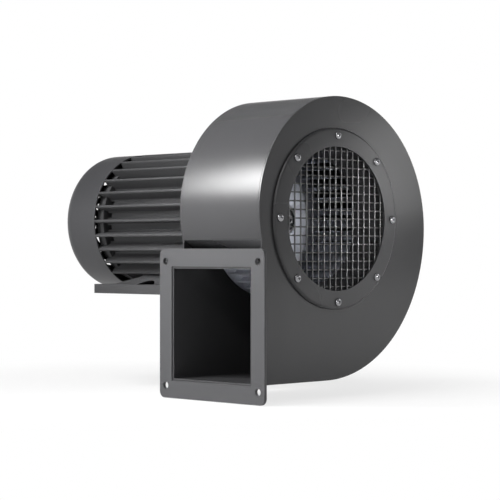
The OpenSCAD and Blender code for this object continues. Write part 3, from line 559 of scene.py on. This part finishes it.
outside = at(crease.x, INNER_Y[0], crease.z)
inwards = (at(top.x, INNER_Y[0], first_z) - outside).normalized() * SHEET * MM
wrapper = begin("rolled_wrapper", outside)
pull(inwards)
bpy.ops.mesh.select_all(action="SELECT")
along_scroll()
bpy.ops.mesh.select_all(action="SELECT")
pull((0, (INNER_Y[1] - INNER_Y[0]) * MM, 0))
close(wrapper, 0.25)
dress(wrapper, housing_paint, "casing", "scroll_wrapper")

# %% [markdown]
# ## The side plates
# Two flat plates close the scroll. Their outline is the same sweep, made by one vertex instead
# of a strip, and closed round the outlet's end. A Boolean could cut the round hole, but filling
# the outline together with a circle leaves it open with no stray edges. The inlet plate has the
# large one for the air, the motor plate the small one for the motor's spigot. The laser-cut
# rims get a fine rounding.

# %% Cut the side plates
def side_plate(name, node, steps):
    """A flat plate with the scroll's outline, and a round hole of that many steps."""
    y_front, y_back = span(node)
    plate = begin(name, at(crease.x, y_front, crease.z))
    along_scroll()
    draw([at(DUCT_X, 0, FLOOR_Z), at(DUCT_X, 0, DUCT_TOP), at(crease.x, 0, DUCT_TOP),
          at(crease.x, 0, crease.z)])
    bpy.ops.mesh.primitive_circle_add(vertices=steps, radius=radii(node)[0] * MM,
                                      location=at(0, y_front, 0),
                                      rotation=(math.radians(90), 0, 0))
    bpy.ops.mesh.select_all(action="SELECT")
    bpy.ops.mesh.remove_doubles(threshold=0.002 * MM)
    bpy.ops.mesh.fill()
    bpy.ops.mesh.select_all(action="SELECT")
    pull((0, (y_back - y_front) * MM, 0))
    close(plate, 0.3)
    dress(plate, housing_paint, "casing", node)


side_plate("inlet_plate", "inlet_side_plate", 128)
side_plate("motor_plate", "motor_side_plate", 96)

# %% [markdown]
# ## The outlet flange
# A flat frame welded round the duct's end, with four bolt holes. It could be four bars, but the
# real one is cut from one sheet and has no seams. So a plane is inset to the duct's size, its
# middle is deleted, and the frame is extruded to its thickness. The corners are then bevelled
# round, and four drills, joined to one cutter, make the holes.

# %% Make the flange
flange_low, flange_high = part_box("outlet_flange")
FLANGE_T = (flange_high.x - flange_low.x) / MM
BORDER = (flange_high.z - SHAFT_Z) / MM - DUCT_TOP
FLANGE_CORNER = 6.0
middle = (flange_low + flange_high) / 2
bpy.ops.object.select_all(action="DESELECT")
bpy.ops.mesh.primitive_plane_add(size=1, location=(flange_low.x, middle.y, middle.z),
                                 rotation=(0, math.radians(-90), 0))
flange = bpy.context.object
flange.name = flange.data.name = "flange_frame"
flange.scale = (flange_high.z - flange_low.z, flange_high.y - flange_low.y, 1)
bpy.ops.object.transform_apply(location=True, rotation=True, scale=True)
bpy.ops.object.mode_set(mode="EDIT")
bpy.ops.mesh.select_all(action="SELECT")
bpy.ops.mesh.inset(thickness=BORDER * MM)
bpy.ops.mesh.delete(type="FACE")
bpy.ops.mesh.select_all(action="SELECT")
pull((FLANGE_T * MM, 0, 0))
far_out = (flange_high.z - flange_low.z) / 2 - MM
pick(flange, "EDGE", lambda m, e: abs(m.z - middle.z) > far_out
     and abs(m.y - middle.y) > far_out and abs(m.x - middle.x) < 0.1 * MM)
bpy.ops.mesh.bevel(offset=FLANGE_CORNER * MM, segments=8)
close(flange)


# %% Drill its four holes
def mount(name):
    """A mount of the part's record."""
    return next(m for m in frame["record"]["mounts"] if m["name"] == name)


bolts = mount("outlet_flange")["dims"]
drills = []
for y in (-0.5, 0.5):
    for z in (-0.5, 0.5):
        bpy.ops.mesh.primitive_cylinder_add(
            vertices=32, radius=bolts["hole_r_mm"] * MM, depth=4 * FLANGE_T * MM,
            location=middle + Vector((0, y * bolts["spacing_x_mm"], z * bolts["spacing_y_mm"])) * MM,
            rotation=(0, math.radians(90), 0))
        drills.append(bpy.context.object)
cut(flange, joined("drills", drills))
close(flange, 0.35)
dress(flange, flange_paint, "casing", "outlet_flange")

# %% [markdown]
# ## The inlet: guard ring and bell mouth
# Both are round. They could be tubes with bevelled rims, but their section isn't even, so a
# profile is drawn and turned about the shaft's line, as on a lathe. The guard ring is a flat
# stamped ring whose front rim is rolled over, so that it catches a line of light. The bell mouth
# behind it is spun sheet: a flat flange, a rolled mouth, a cone and a short lip.

# %% Turn the guard ring
RING_IN, RING_OUT = radii("guard_ring")
RING_FRONT, RING_BACK = span("guard_ring")
ROLL = 2.4
rolled = quarter(RING_OUT - ROLL, RING_FRONT + ROLL, ROLL, ROLL)
ring = turn("inlet_guard_ring", [(RING_IN, RING_FRONT)] + rolled
            + [(RING_OUT, RING_BACK), (RING_IN, RING_BACK)], 128)
close(ring, 0.2)
dress(ring, guard_paint, "casing", "guard_ring")

# %% Spin the bell mouth
THROAT, FLANGE_R = radii("inlet_cone")
CONE_FRONT, CONE_END = span("inlet_cone")
CONE_SHEET, LIP, MOUTH_R, MOUTH_AT = 1.2, 6.0, 6.0, radii("inlet_side_plate")[0]
mouth_y = CONE_FRONT + MOUTH_R
foot_y = CONE_END - LIP
reach = math.hypot(MOUTH_AT - THROAT, foot_y - mouth_y)
roll = (math.pi / 2 - math.atan2(MOUTH_AT - THROAT, foot_y - mouth_y)
        + math.asin(MOUTH_R / reach))


def mouth(radius):
    """Points of the rolled mouth, from its flange inwards."""
    return [(MOUTH_AT - radius * math.sin(roll * i / 10), mouth_y - radius * math.cos(roll * i / 10))
            for i in range(11)]


cone = turn("inlet_bell_mouth",
            [(FLANGE_R, CONE_FRONT)] + mouth(MOUTH_R) + [(THROAT, foot_y), (THROAT, CONE_END),
             (THROAT + CONE_SHEET, CONE_END), (THROAT + CONE_SHEET, foot_y)]
            + mouth(MOUTH_R - CONE_SHEET)[::-1] + [(FLANGE_R, CONE_FRONT + CONE_SHEET)], 128)
close(cone, 0.15, 50)
dress(cone, guard_paint, "casing", "inlet_cone")

# %% [markdown]
# ## The wire guard
# A square mat of drawn wire, resistance-welded where the wires cross and cut round. A flat
# grid pattern would be quick, but it has no depth and no glints. Welding squeezes each wire a
# little thicker at a crossing. One wire is made by extruding a small circle along its length, swelling
# at every crossing. Its copies are laid side by side in two layers, and two bisecting cuts trim
# each to the round outline.

# %% Draw one wire
WIRE_R, PITCH, SWELL, WELD_HALF = 0.7, 7.75, 1.22, 1.3
MAT_R = radii("guard_mesh")[1]
HALF_COUNT = int((MAT_R - 2 * WIRE_R) / PITCH)
MAT_Y = span("guard_mesh")[0] + WIRE_R
bpy.ops.object.select_all(action="DESELECT")
bpy.ops.mesh.primitive_circle_add(vertices=8, radius=WIRE_R * MM, fill_type="NGON",
                                  location=at(0, 0, -PITCH * (HALF_COUNT + 0.75)))
wire_piece = bpy.context.object
bpy.ops.object.transform_apply(location=True)
bpy.ops.object.mode_set(mode="EDIT")
bpy.ops.mesh.select_all(action="SELECT")
pull((0, 0, (PITCH * 0.75 - WELD_HALF) * MM))
for crossing in range(-HALF_COUNT, HALF_COUNT + 1):
    pull((0, 0, WELD_HALF * MM))
    stretch((SWELL, SWELL, 1), at(0, 0, crossing * PITCH))
    pull((0, 0, WELD_HALF * MM))
    stretch((1 / SWELL, 1 / SWELL, 1), at(0, 0, crossing * PITCH + WELD_HALF))
    pull((0, 0, (PITCH - 2 * WELD_HALF) * MM))
close(wire_piece)
print("one wire with", 2 * HALF_COUNT + 1, "crossings:", len(wire_piece.data.polygons), "faces")


# %% Lay the mat and cut it round
def trim(wire_copy, half):
    """Cuts an upright wire off at that height over and under the shaft's line."""
    bpy.context.view_layer.objects.active = wire_copy
    bpy.ops.object.mode_set(mode="EDIT")
    for side in (-1, 1):
        bpy.ops.mesh.select_all(action="SELECT")
        bpy.ops.mesh.bisect(plane_co=at(0, 0, side * half), plane_no=(0, 0, side),
                            use_fill=True, clear_outer=True)
    bpy.ops.object.mode_set(mode="OBJECT")


lay_flat = (Matrix.Translation(at(0, 0, 0)) @ Matrix.Rotation(math.radians(90), 4, "Y")
            @ Matrix.Translation(-at(0, 0, 0)))
mat = []
for row in range(-HALF_COUNT, HALF_COUNT + 1):
    half_chord = math.sqrt(MAT_R ** 2 - (row * PITCH) ** 2)
    for level in (False, True):
        bpy.ops.object.select_all(action="DESELECT")
        strand = copied(wire_piece, "strand", Matrix.Identity(4))
        strand.select_set(True)
        trim(strand, half_chord)
        depth = MAT_Y + (2 * WIRE_R if level else 0)
        move = Matrix.Translation((row * PITCH * MM, depth * MM, 0))
        turned = Matrix.Translation((0, depth * MM, row * PITCH * MM)) @ lay_flat
        strand.data.transform(turned if level else move)
        mat.append(strand)
bpy.data.objects.remove(wire_piece)
guard = joined("inlet_wire_guard", mat)
bpy.ops.object.shade_smooth_by_angle(angle=math.radians(60))
dress(guard, guard_wire, "casing", "guard_mesh")

# %% [markdown]
# ## Screws
# The screws in sight are pan heads with a cross recess, and the feet and the hub have socket
# heads with a hexagon. A plain disc would do from far off, but the recess is what tells a screw
# from a rivet. Head and shank are one turned profile, drawn on the shaft's line with the seat at
# Y 0. The recess is cut out of it, the cross one bar at a time, since a cutter that crosses
# itself spoils the Boolean. One screw is modelled for each size, and its copies are set on their
# seats, each turned a little further, as a driver leaves them.

# %% Recess cutters
def cross_bar(width, length, depth, turned_by):
    """One bar of the cross, narrower at its inner end."""
    bpy.ops.object.select_all(action="DESELECT")
    bpy.ops.mesh.primitive_cube_add(size=MM, location=at(0, 0, 0),
                                    rotation=(0, math.radians(turned_by), 0),
                                    scale=(length, depth, width))
    blade = bpy.context.object
    bpy.ops.object.transform_apply(location=True, rotation=True, scale=True)
    bpy.ops.object.mode_set(mode="EDIT")
    pick(blade, "FACE", lambda m, f: m.y > at(0, 0.4 * depth, 0).y)
    stretch((0.45, 1, 0.45), at(0, depth / 2, 0))
    bpy.ops.object.mode_set(mode="OBJECT")
    return blade


def hexagon(across, depth):
    """A hexagon bar for a socket."""
    bpy.ops.object.select_all(action="DESELECT")
    bpy.ops.mesh.primitive_cylinder_add(vertices=6, radius=across * MM / math.sqrt(3),
                                        depth=depth * MM, location=at(0, 0, 0),
                                        rotation=(math.radians(90), 0, 0))
    bpy.ops.object.transform_apply(location=True, rotation=True)
    return bpy.context.object


# %% Screw bodies
def pan_screw(head_r, head_h, shank_r, shank_l):
    """A domed head with a cross recess."""
    skirt = 0.32 * head_h
    bar, long, deep = 0.40 * head_r, 1.25 * head_r, 1.4 * head_h
    dome = quarter(0, -skirt, head_r, head_h - skirt)
    screw = turn("screw", dome + [(head_r, 0), (shank_r, 0), (shank_r, shank_l), (0, shank_l)], 32)
    close(screw)
    for angle in (0, 90):
        blade = cross_bar(bar, long, deep, angle)
        blade.data.transform(Matrix.Translation((0, -head_h * MM, 0)))
        cut(screw, blade)
    close(screw, 0.05 * head_h)
    return screw


def socket_screw(head_r, head_h, shank_r, shank_l):
    """A cylindrical head with a chamfered rim and a hexagon socket."""
    rim = 0.12 * head_r
    screw = turn("screw", [(0, -head_h), (head_r - rim, -head_h), (head_r, rim - head_h),
                           (head_r, 0), (shank_r, 0), (shank_r, shank_l), (0, shank_l)], 32)
    close(screw)
    socket = hexagon(head_r, head_h)
    socket.data.transform(Matrix.Translation((0, -head_h * MM, 0)))
    cut(screw, socket)
    close(screw, 0.04 * head_h)
    return screw


# %% Seats and copies
def screw_circle(node, head_r):
    """Radius of the circle that a node's screws sit on."""
    return radii(node)[1] - head_r


def circle_seats(radius, y, count, first=0, way=(0, -1, 0)):
    """Seats on a circle round the shaft, and the way that the heads face there."""
    return [(around_shaft(first + 360 * i / count) @ at(-radius, y, 0), Vector(way))
            for i in range(count)]


TWIST = 37


def set_on_seats(name, part, seats):
    """Copies of a part that was drawn on the shaft's line, one on each seat."""
    copies = []
    for i, (seat, way) in enumerate(seats):
        swing = Vector((0, -1, 0)).rotation_difference(way).to_matrix().to_4x4()
        copies.append(copied(part, name, Matrix.Translation(seat) @ swing
                             @ Matrix.Rotation(math.radians(TWIST * i), 4, "Y")
                             @ Matrix.Translation(-at(0, 0, 0))))
    bpy.data.objects.remove(part)
    return joined(name, copies)


# %% Place the screws in sight
HEAD_R, BOLT_R = 3.7, 5.25
guard_circle = screw_circle("guard_screws", HEAD_R)
screws = set_on_seats("guard_pan_screws", pan_screw(HEAD_R, 2.6, 1.9, 9.9),
                      circle_seats(guard_circle, RING_FRONT, 8))
dress(screws, zinc, "casing", "guard_screws")

cowl_circle = screw_circle("cowl_screws", HEAD_R)
screws = set_on_seats("cowl_pan_screws", pan_screw(HEAD_R, 2.4, 1.9, 8.8),
                      circle_seats(cowl_circle, span("fan_cowl")[1], 4, way=(0, 1, 0)))
dress(screws, zinc, "casing", "cowl_screws")

motor_circle = screw_circle("flange_bolts", BOLT_R)
screws = set_on_seats("flange_pan_bolts", pan_screw(BOLT_R, 3.4, 2.9, 9.8),
                      circle_seats(motor_circle, span("motor_side_plate")[0], 4, 45))
dress(screws, zinc, "casing", "flange_bolts")

screws = set_on_seats("hub_socket_screw", socket_screw(4.75, 4.5, 2.4, 15.8),
                      [(at(0, span("hub_washer")[0], 0), Vector((0, -1, 0)))])
dress(screws, zinc, "rotor", "hub_end_screw")

# %% Place the foot screws
FOOT_HEAD_R, FOOT_HEAD_H, FOOT_ANGLE = 4.2, 4.0, 66.0
foot_ends = span("foot_screws")
seat_r = math.sqrt(radii("foot_screws")[1] ** 2 - FOOT_HEAD_R ** 2) - FOOT_HEAD_H
seats = []
for y in (foot_ends[0] + FOOT_HEAD_R, foot_ends[1] - FOOT_HEAD_R):
    for angle in (-FOOT_ANGLE, 180 + FOOT_ANGLE):
        seat = around_shaft(angle) @ at(-seat_r, y, 0)
        seats.append((seat, (seat - at(0, y, 0)).normalized()))
screws = set_on_seats("foot_socket_screws", socket_screw(FOOT_HEAD_R, FOOT_HEAD_H, 2.4, 11.5), seats)
dress(screws, zinc, "casing", "foot_screws")

# %% [markdown]
# ## The motor's frame
# A die casting: a tube with cooling fins that taper to round tips and run out into the tube with
# a small fillet. Near its rear end a groove separates the fins' tube from the rear flange. An
# Array modifier could set the fins, but the feet take the room of two a side. So the tube is a
# turned profile, one fin is drawn as a profile, filled, and extruded along the shaft, and its
# copies are turned round to their places.

# %% Draw the fin's profile
FRAME_Y, FRAME_END = span("motor_frame")
FRAME_BORE = radii("motor_frame")[0]
FIN_TIP = -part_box("motor_frame")[0].x / MM
ROOT, TIP_HALF, ROOT_HALF, FILLET, FIN_SINK = 55.0, 1.4, 2.0, 1.6, 1.0
FIN_PITCH, FIN_HALF, FOOT_PLACES = 12.4, 7, (-5, -6)


def fin_side():
    """(radius, half width) points from the tube, up one side and round half of the tip."""
    fillet = quarter(ROOT + FILLET, ROOT_HALF + FILLET, -FILLET, FILLET, 18)[::-1]
    tip = quarter(FIN_TIP - TIP_HALF, 0, TIP_HALF, -TIP_HALF, 18)
    return [(ROOT - FIN_SINK, ROOT_HALF + FILLET)] + fillet + tip


side = fin_side()
outline = side + [(r, -w) for r, w in side[-2::-1]]
points = [at(-r, FRAME_Y, w) for r, w in outline + outline[:1]]
fin = begin("fin", points[0])
draw(points)
bpy.ops.mesh.select_all(action="SELECT")
bpy.ops.mesh.remove_doubles(threshold=0.002 * MM)
bpy.ops.mesh.edge_face_add()
pull((0, (FRAME_END - FRAME_Y) * MM, 0))
close(fin, 0.3, 60)
print("one fin:", len(fin.data.polygons), "faces")

# %% Turn the tube and set the fins round it
REAR_FLANGE_T, GROOVE, GROOVE_DEEP = 6.0, 6.0, 4.0
groove_y = FRAME_END - REAR_FLANGE_T - GROOVE
REAR_EDGE = 1.0
rear_r = radii("rear_end_shield")[1] + REAR_EDGE
core = turn("core", [(FRAME_BORE, FRAME_Y), (ROOT, FRAME_Y), (ROOT, groove_y),
                     (ROOT - GROOVE_DEEP, groove_y + GROOVE_DEEP),
                     (ROOT - GROOVE_DEEP, groove_y + GROOVE), (rear_r, groove_y + GROOVE),
                     (rear_r, FRAME_END - REAR_EDGE), (rear_r - REAR_EDGE, FRAME_END),
                     (FRAME_BORE, FRAME_END)])
close(core, 0.5)
places = [i for i in range(-FIN_HALF, FIN_HALF + 1) if i not in FOOT_PLACES]
fins = [copied(fin, "fin", around_shaft(i * FIN_PITCH)) for i in places]
fins += [copied(fin, "fin", around_shaft(180 - i * FIN_PITCH)) for i in places]
bpy.data.objects.remove(fin)
print(len(fins), "fins")

# %% Add the cable pad
PAD, PAD_CORNER, PAD_SINK = 26.0, 3.0, 4.0
entry = mount("cable_entry")
pad_foot, pad_face = ROOT - PAD_SINK, FIN_TIP + 1
pad_y = (entry["pos_m"][1] - FACE_Y) / MM
bpy.ops.object.select_all(action="DESELECT")
bpy.ops.mesh.primitive_cube_add(size=MM, location=at((pad_foot + pad_face) / 2, pad_y, 0),
                                scale=(pad_face - pad_foot, PAD, PAD))
pad = bpy.context.object
bpy.ops.object.transform_apply(location=True, scale=True)
bpy.ops.object.mode_set(mode="EDIT")
pick(pad, "EDGE", lambda m, e: abs(m.y - at(0, pad_y, 0).y) > 0.4 * PAD * MM
     and abs(m.z - SHAFT_Z) > 0.4 * PAD * MM)
bpy.ops.mesh.bevel(offset=PAD_CORNER * MM, segments=6)
close(pad, 0.6)
finned = joined("finned_frame", [core, pad] + fins)
dress(finned, motor_paint, "casing", "motor_frame")

# %% [markdown]
# ## The fan cowl
# Deep-drawn sheet: a cylinder with a rounded corner and a flat end, punched with rings of slots
# for the cooling air. The outside is an open profile turned round. Boolean cutters could punch
# the slots, but the flat end is already made of small faces in rings. So the slots are faces
# deleted from it, all but eight ribs and the lands under the four screws, and the sheet then
# gets its thickness from a Solidify modifier, as a drawn sheet has it all over.

# %% Draw the cowl
COWL_Y, COWL_END = span("fan_cowl")
COWL_R = radii("fan_cowl")[1]
CORNER, COWL_T, CENTRE_R = 14.0, 1.5, 8.0
SLOT, FIRST_SLOT, SLOT_RINGS, RIB, RIBS, LAND = 4.0, 16.0, 4, 6.0, 8, 6.0
corner = quarter(COWL_R - CORNER, COWL_END - CORNER, CORNER, -CORNER, 9)[::-1]
ring_edges = [FIRST_SLOT + SLOT * i for i in range(2 * SLOT_RINGS - 1, -1, -1)]
profile = [(COWL_R, COWL_Y)] + corner + [(r, COWL_END) for r in ring_edges + [CENTRE_R, 0.0]]
points = [at(r, y, 0) for r, y in profile]
cowl = begin("drawn_fan_cowl", points[0])
draw(points)
bpy.ops.mesh.select_all(action="SELECT")
sweep(360, 192)
bpy.ops.mesh.select_all(action="SELECT")
bpy.ops.mesh.remove_doubles(threshold=0.002 * MM)
bpy.ops.mesh.normals_make_consistent(inside=False)


# %% Punch its slots and give it its thickness
def in_slot(middle, face):
    """True for the faces of the flat end that a punch takes out."""
    x, z = middle.x / MM, (middle.z - SHAFT_Z) / MM
    away, angle = math.hypot(x, z), math.atan2(z, x)
    ring = (away - FIRST_SLOT) / (2 * SLOT)
    share = math.radians(360 / RIBS)
    off_rib = abs(math.sin((angle % share) - share / 2)) * away
    off_screw = min(math.dist((x, z), spot) for spot in screw_spots)
    on_end = abs(face.normal.y) > 0.9 and middle.y > at(0, COWL_END - 0.1, 0).y
    in_ring = 0 <= ring < SLOT_RINGS and ring % 1 < 0.5
    return on_end and in_ring and off_rib > RIB / 2 and off_screw > LAND


screw_spots = [(cowl_circle, 0), (-cowl_circle, 0), (0, cowl_circle), (0, -cowl_circle)]
pick(cowl, "FACE", in_slot)
bpy.ops.mesh.delete(type="FACE")
bpy.ops.object.mode_set(mode="OBJECT")
modify(cowl, "SOLIDIFY", thickness=COWL_T * MM, offset=-1)
close(cowl, 0.2, 60)
dress(cowl, cowl_paint, "casing", "fan_cowl")

# %% [markdown]
# ## The cable gland
# Moulded nylon: a hexagon body screwed into the pad, and a domed nut that squeezes a rubber
# seal round the cable. It could be one turned shape, but a spanner needs the hexagon. So dome
# and thread are one turned profile, the hexagon is a six-sided cylinder with a bore and rounded
# edges, and both are set on the pad like a screw.

# %% Model the gland
HOLE, THREAD_R, THREAD_L = entry["dims"]["r_mm"], 7.9, 8.0
HEX_R, HEX_H, NUT_R, NUT_H, NUT_ROUND = 12.0, 7.0, 10.0, 9.0, 3.0
nut_end = -HEX_H - NUT_H
dome = quarter(NUT_R - NUT_ROUND, -HEX_H - NUT_ROUND, NUT_ROUND, NUT_H - NUT_ROUND)[::-1]
seal = [(HOLE + 1.5, nut_end), (HOLE + 1.2, nut_end + 1.5), (HOLE, nut_end + 2)]
nut = turn("nut", [(HOLE, THREAD_L), (THREAD_R, THREAD_L), (THREAD_R, 0), (NUT_R, 0)]
           + dome + seal, 48)
close(nut, 0.3)
body = hexagon(HEX_R * math.sqrt(3), HEX_H)
body.data.transform(Matrix.Translation((0, -HEX_H / 2 * MM, 0)))
bpy.ops.mesh.primitive_cylinder_add(vertices=48, radius=(HOLE + 1) * MM, depth=3 * HEX_H * MM,
                                    location=at(0, 0, 0), rotation=(math.radians(90), 0, 0))
cut(body, bpy.context.object)
close(body, 0.8)
gland = set_on_seats("nylon_cable_gland", joined("gland", [nut, body]),
                     [(at(pad_face, pad_y, 0), Vector((1, 0, 0)))])
dress(gland, nylon, "casing", "cable_gland")

# %% [markdown]
# ## The studio
# A product is shown on white, with only its own shadow under it. A bright floor and surround
# could give that, but they would light the blower from all sides and its dark paint would turn
# flat and grey. So the surround lights it weakly, and only the rays that show the background see
# it white: the camera's rays, and those that leave a shiny surface or pass through a clear one.

# %% Tell background rays from the others
def background_rays(wire):
    """1 for the rays that show the background, 0 for those that light dull surfaces."""
    rays = wire.node("ShaderNodeLightPath").outputs()
    seen_or_glossy = wire.maths("MAXIMUM", rays["Is Camera Ray"], rays["Is Glossy Ray"])
    return wire.maths("MAXIMUM", seen_or_glossy, rays["Is Transmission Ray"])


def painted_plane(name, size, height, roughness):
    """A flat pale surface of the studio, its shader, a Wire and its coordinates."""
    bpy.ops.object.select_all(action="DESELECT")
    bpy.ops.mesh.primitive_plane_add(size=size, location=(0, 0, height))
    plane = bpy.context.object
    plane.name = name
    paint, shader, wire, place = finish(name + "_paint", roughness, specular=0.1)
    shader.inputs["Base Color"].default_value = (0.80, 0.80, 0.80, 1)
    plane.data.materials.append(paint)
    print(name, "at", round(height / MM, 1), "mm")
    return plane, shader, wire, place


# %% [markdown]
# ## The floor
# The floor lies just under the lowest edge. A shadow catcher could keep the shadow alone, but it
# isn't seen in reflections. So the floor is a pale paint that is mixed with plain white for the
# background's rays: by three quarters near the blower, where a soft shadow stays, and all of it
# farther out, where the floor runs into the surround with no edge.

# %% Floor
SHADOW_FADE = 0.75
floor, floor_shader, wire, place = painted_plane("floor", 6.0, cad_low.z - 0.5 * MM, 0.7)
away = wire.node("ShaderNodeVectorMath", {"operation": "LENGTH"}, out=1, i0=place)
white = wire.node("ShaderNodeEmission", Color=(1, 1, 1, 1), Strength=1.0)
whitened = background_rays(wire) * (SHADOW_FADE + away.between(0.15, 0.45) * (1 - SHADOW_FADE))
shown = wire.node("ShaderNodeMixShader", i0=whitened,
                  i1=Wire(wire.tree, floor_shader.outputs[0]), i2=white)
wire.tree.links.new(shown.socket, wire.tree.nodes["Material Output"].inputs[0])

# %% [markdown]
# ## The ceiling
# A lit room has a pale ceiling. The rolled sheet's top faces up and would mirror the white
# surround at full strength. The ceiling stands over it instead, duller because only the floor
# and the surround's weak fill light it, and the camera doesn't see it.

# %% Ceiling
ceiling = painted_plane("ceiling", 8.0, 1.7, 0.8)[0]
ceiling.visible_camera = False

# %% [markdown]
# ## The lamps
# Dark semi-gloss paint is drawn by what it mirrors, so each lamp is there for one surface. The
# key is a wide soft box at the upper left. A narrow one stands behind the left side, and its
# grid, a small spread, keeps its light on the rolled sheet, where it draws the bright band. The
# side and front lamps fill the motor and the outlet's flange. The last three are small and near:
# one looks into the inlet, one brightens the side plate's right, and a strip its lower edge.

# %% Lamps
def soft_box(name, towards, distance, width, height, power, aim=(0, -0.09, 0.06), spread=180):
    """An area lamp in direction `towards` from the point that it is aimed at, facing it."""
    lamp = bpy.data.lights.new(name, "AREA")
    lamp.shape, lamp.size, lamp.size_y, lamp.energy = "RECTANGLE", width, height, power
    lamp.spread = math.radians(spread)
    holder = bpy.data.objects.new(name, lamp)
    bpy.context.scene.collection.objects.link(holder)
    way = Vector(towards).normalized()
    holder.location = Vector(aim) + way * distance
    holder.rotation_euler = way.to_track_quat("Z", "Y").to_euler()
    holder.visible_camera = False
    print(name, power, "W from", [round(part, 2) for part in holder.location])


soft_box("key_soft_box", (-0.62, 0.06, 0.78), 1.2, 0.5, 0.5, 15.0)
soft_box("left_soft_box", (-0.66, 0.60, 0.44), 0.70, 0.12, 0.34, 0.52, at(-98, 51, 30), 36)
soft_box("side_lamp", (-1.0, 0.14, -0.05), 1.1, 0.25, 0.25, 3.0, at(0, 200, 0))
soft_box("front_lamp", (-0.79, -0.37, 0.48), 1.6, 0.14, 0.14, 4.0)
soft_box("inlet_lamp", (0.10, -1.0, 0.04), 0.8, 0.06, 0.06, 0.04, at(20, 60, 0), 12)
soft_box("right_card", (0.70, -0.66, 0.07), 0.24, 0.08, 0.11, 0.12, at(98, 0, 48))
soft_box("low_strip", (0.70, -0.70, -0.02), 0.45, 0.45, 0.10, 0.16, at(0, 0, -100))

# %% [markdown]
# ## The surround
# The world behind everything. Its strength is 1, plain white, for the background's rays, and
# drops to a weak fill for the rest.

# %% Surround
FILL = 0.18
world = bpy.data.worlds.new("surround")
bpy.context.scene.world = world
world.use_nodes = True
surround = world.node_tree.nodes["Background"]
surround.inputs["Color"].default_value = (1, 1, 1, 1)
strength = background_rays(Wire(world.node_tree)) * (1 - FILL) + FILL
world.node_tree.links.new(strength.socket, surround.inputs["Strength"])
print("the surround's fill is", FILL)

# %% [markdown]
# ## The camera
# It stands level with the motor's lower half, 1.6 m off, and looks along the diagonal between
# the outlet and the inlet, so that both show. The long lens keeps parallel edges nearly parallel.

# %% Camera
camera = bpy.data.objects.new("camera", bpy.data.cameras.new("camera"))
bpy.context.scene.collection.objects.link(camera)
camera.location = at(-1179.1, -1063.8, -28.75)
camera.rotation_euler = (math.radians(90), 0, math.radians(-45.137))
camera.data.lens, camera.data.sensor_width = 125.16, 36
camera.data.shift_y = 0.0006
bpy.context.scene.camera = camera
bpy.context.scene.view_settings.view_transform = "Standard"
print("the camera is", round((camera.location - at(0, 0, 0)).length, 2), "m from the inlet's centre")
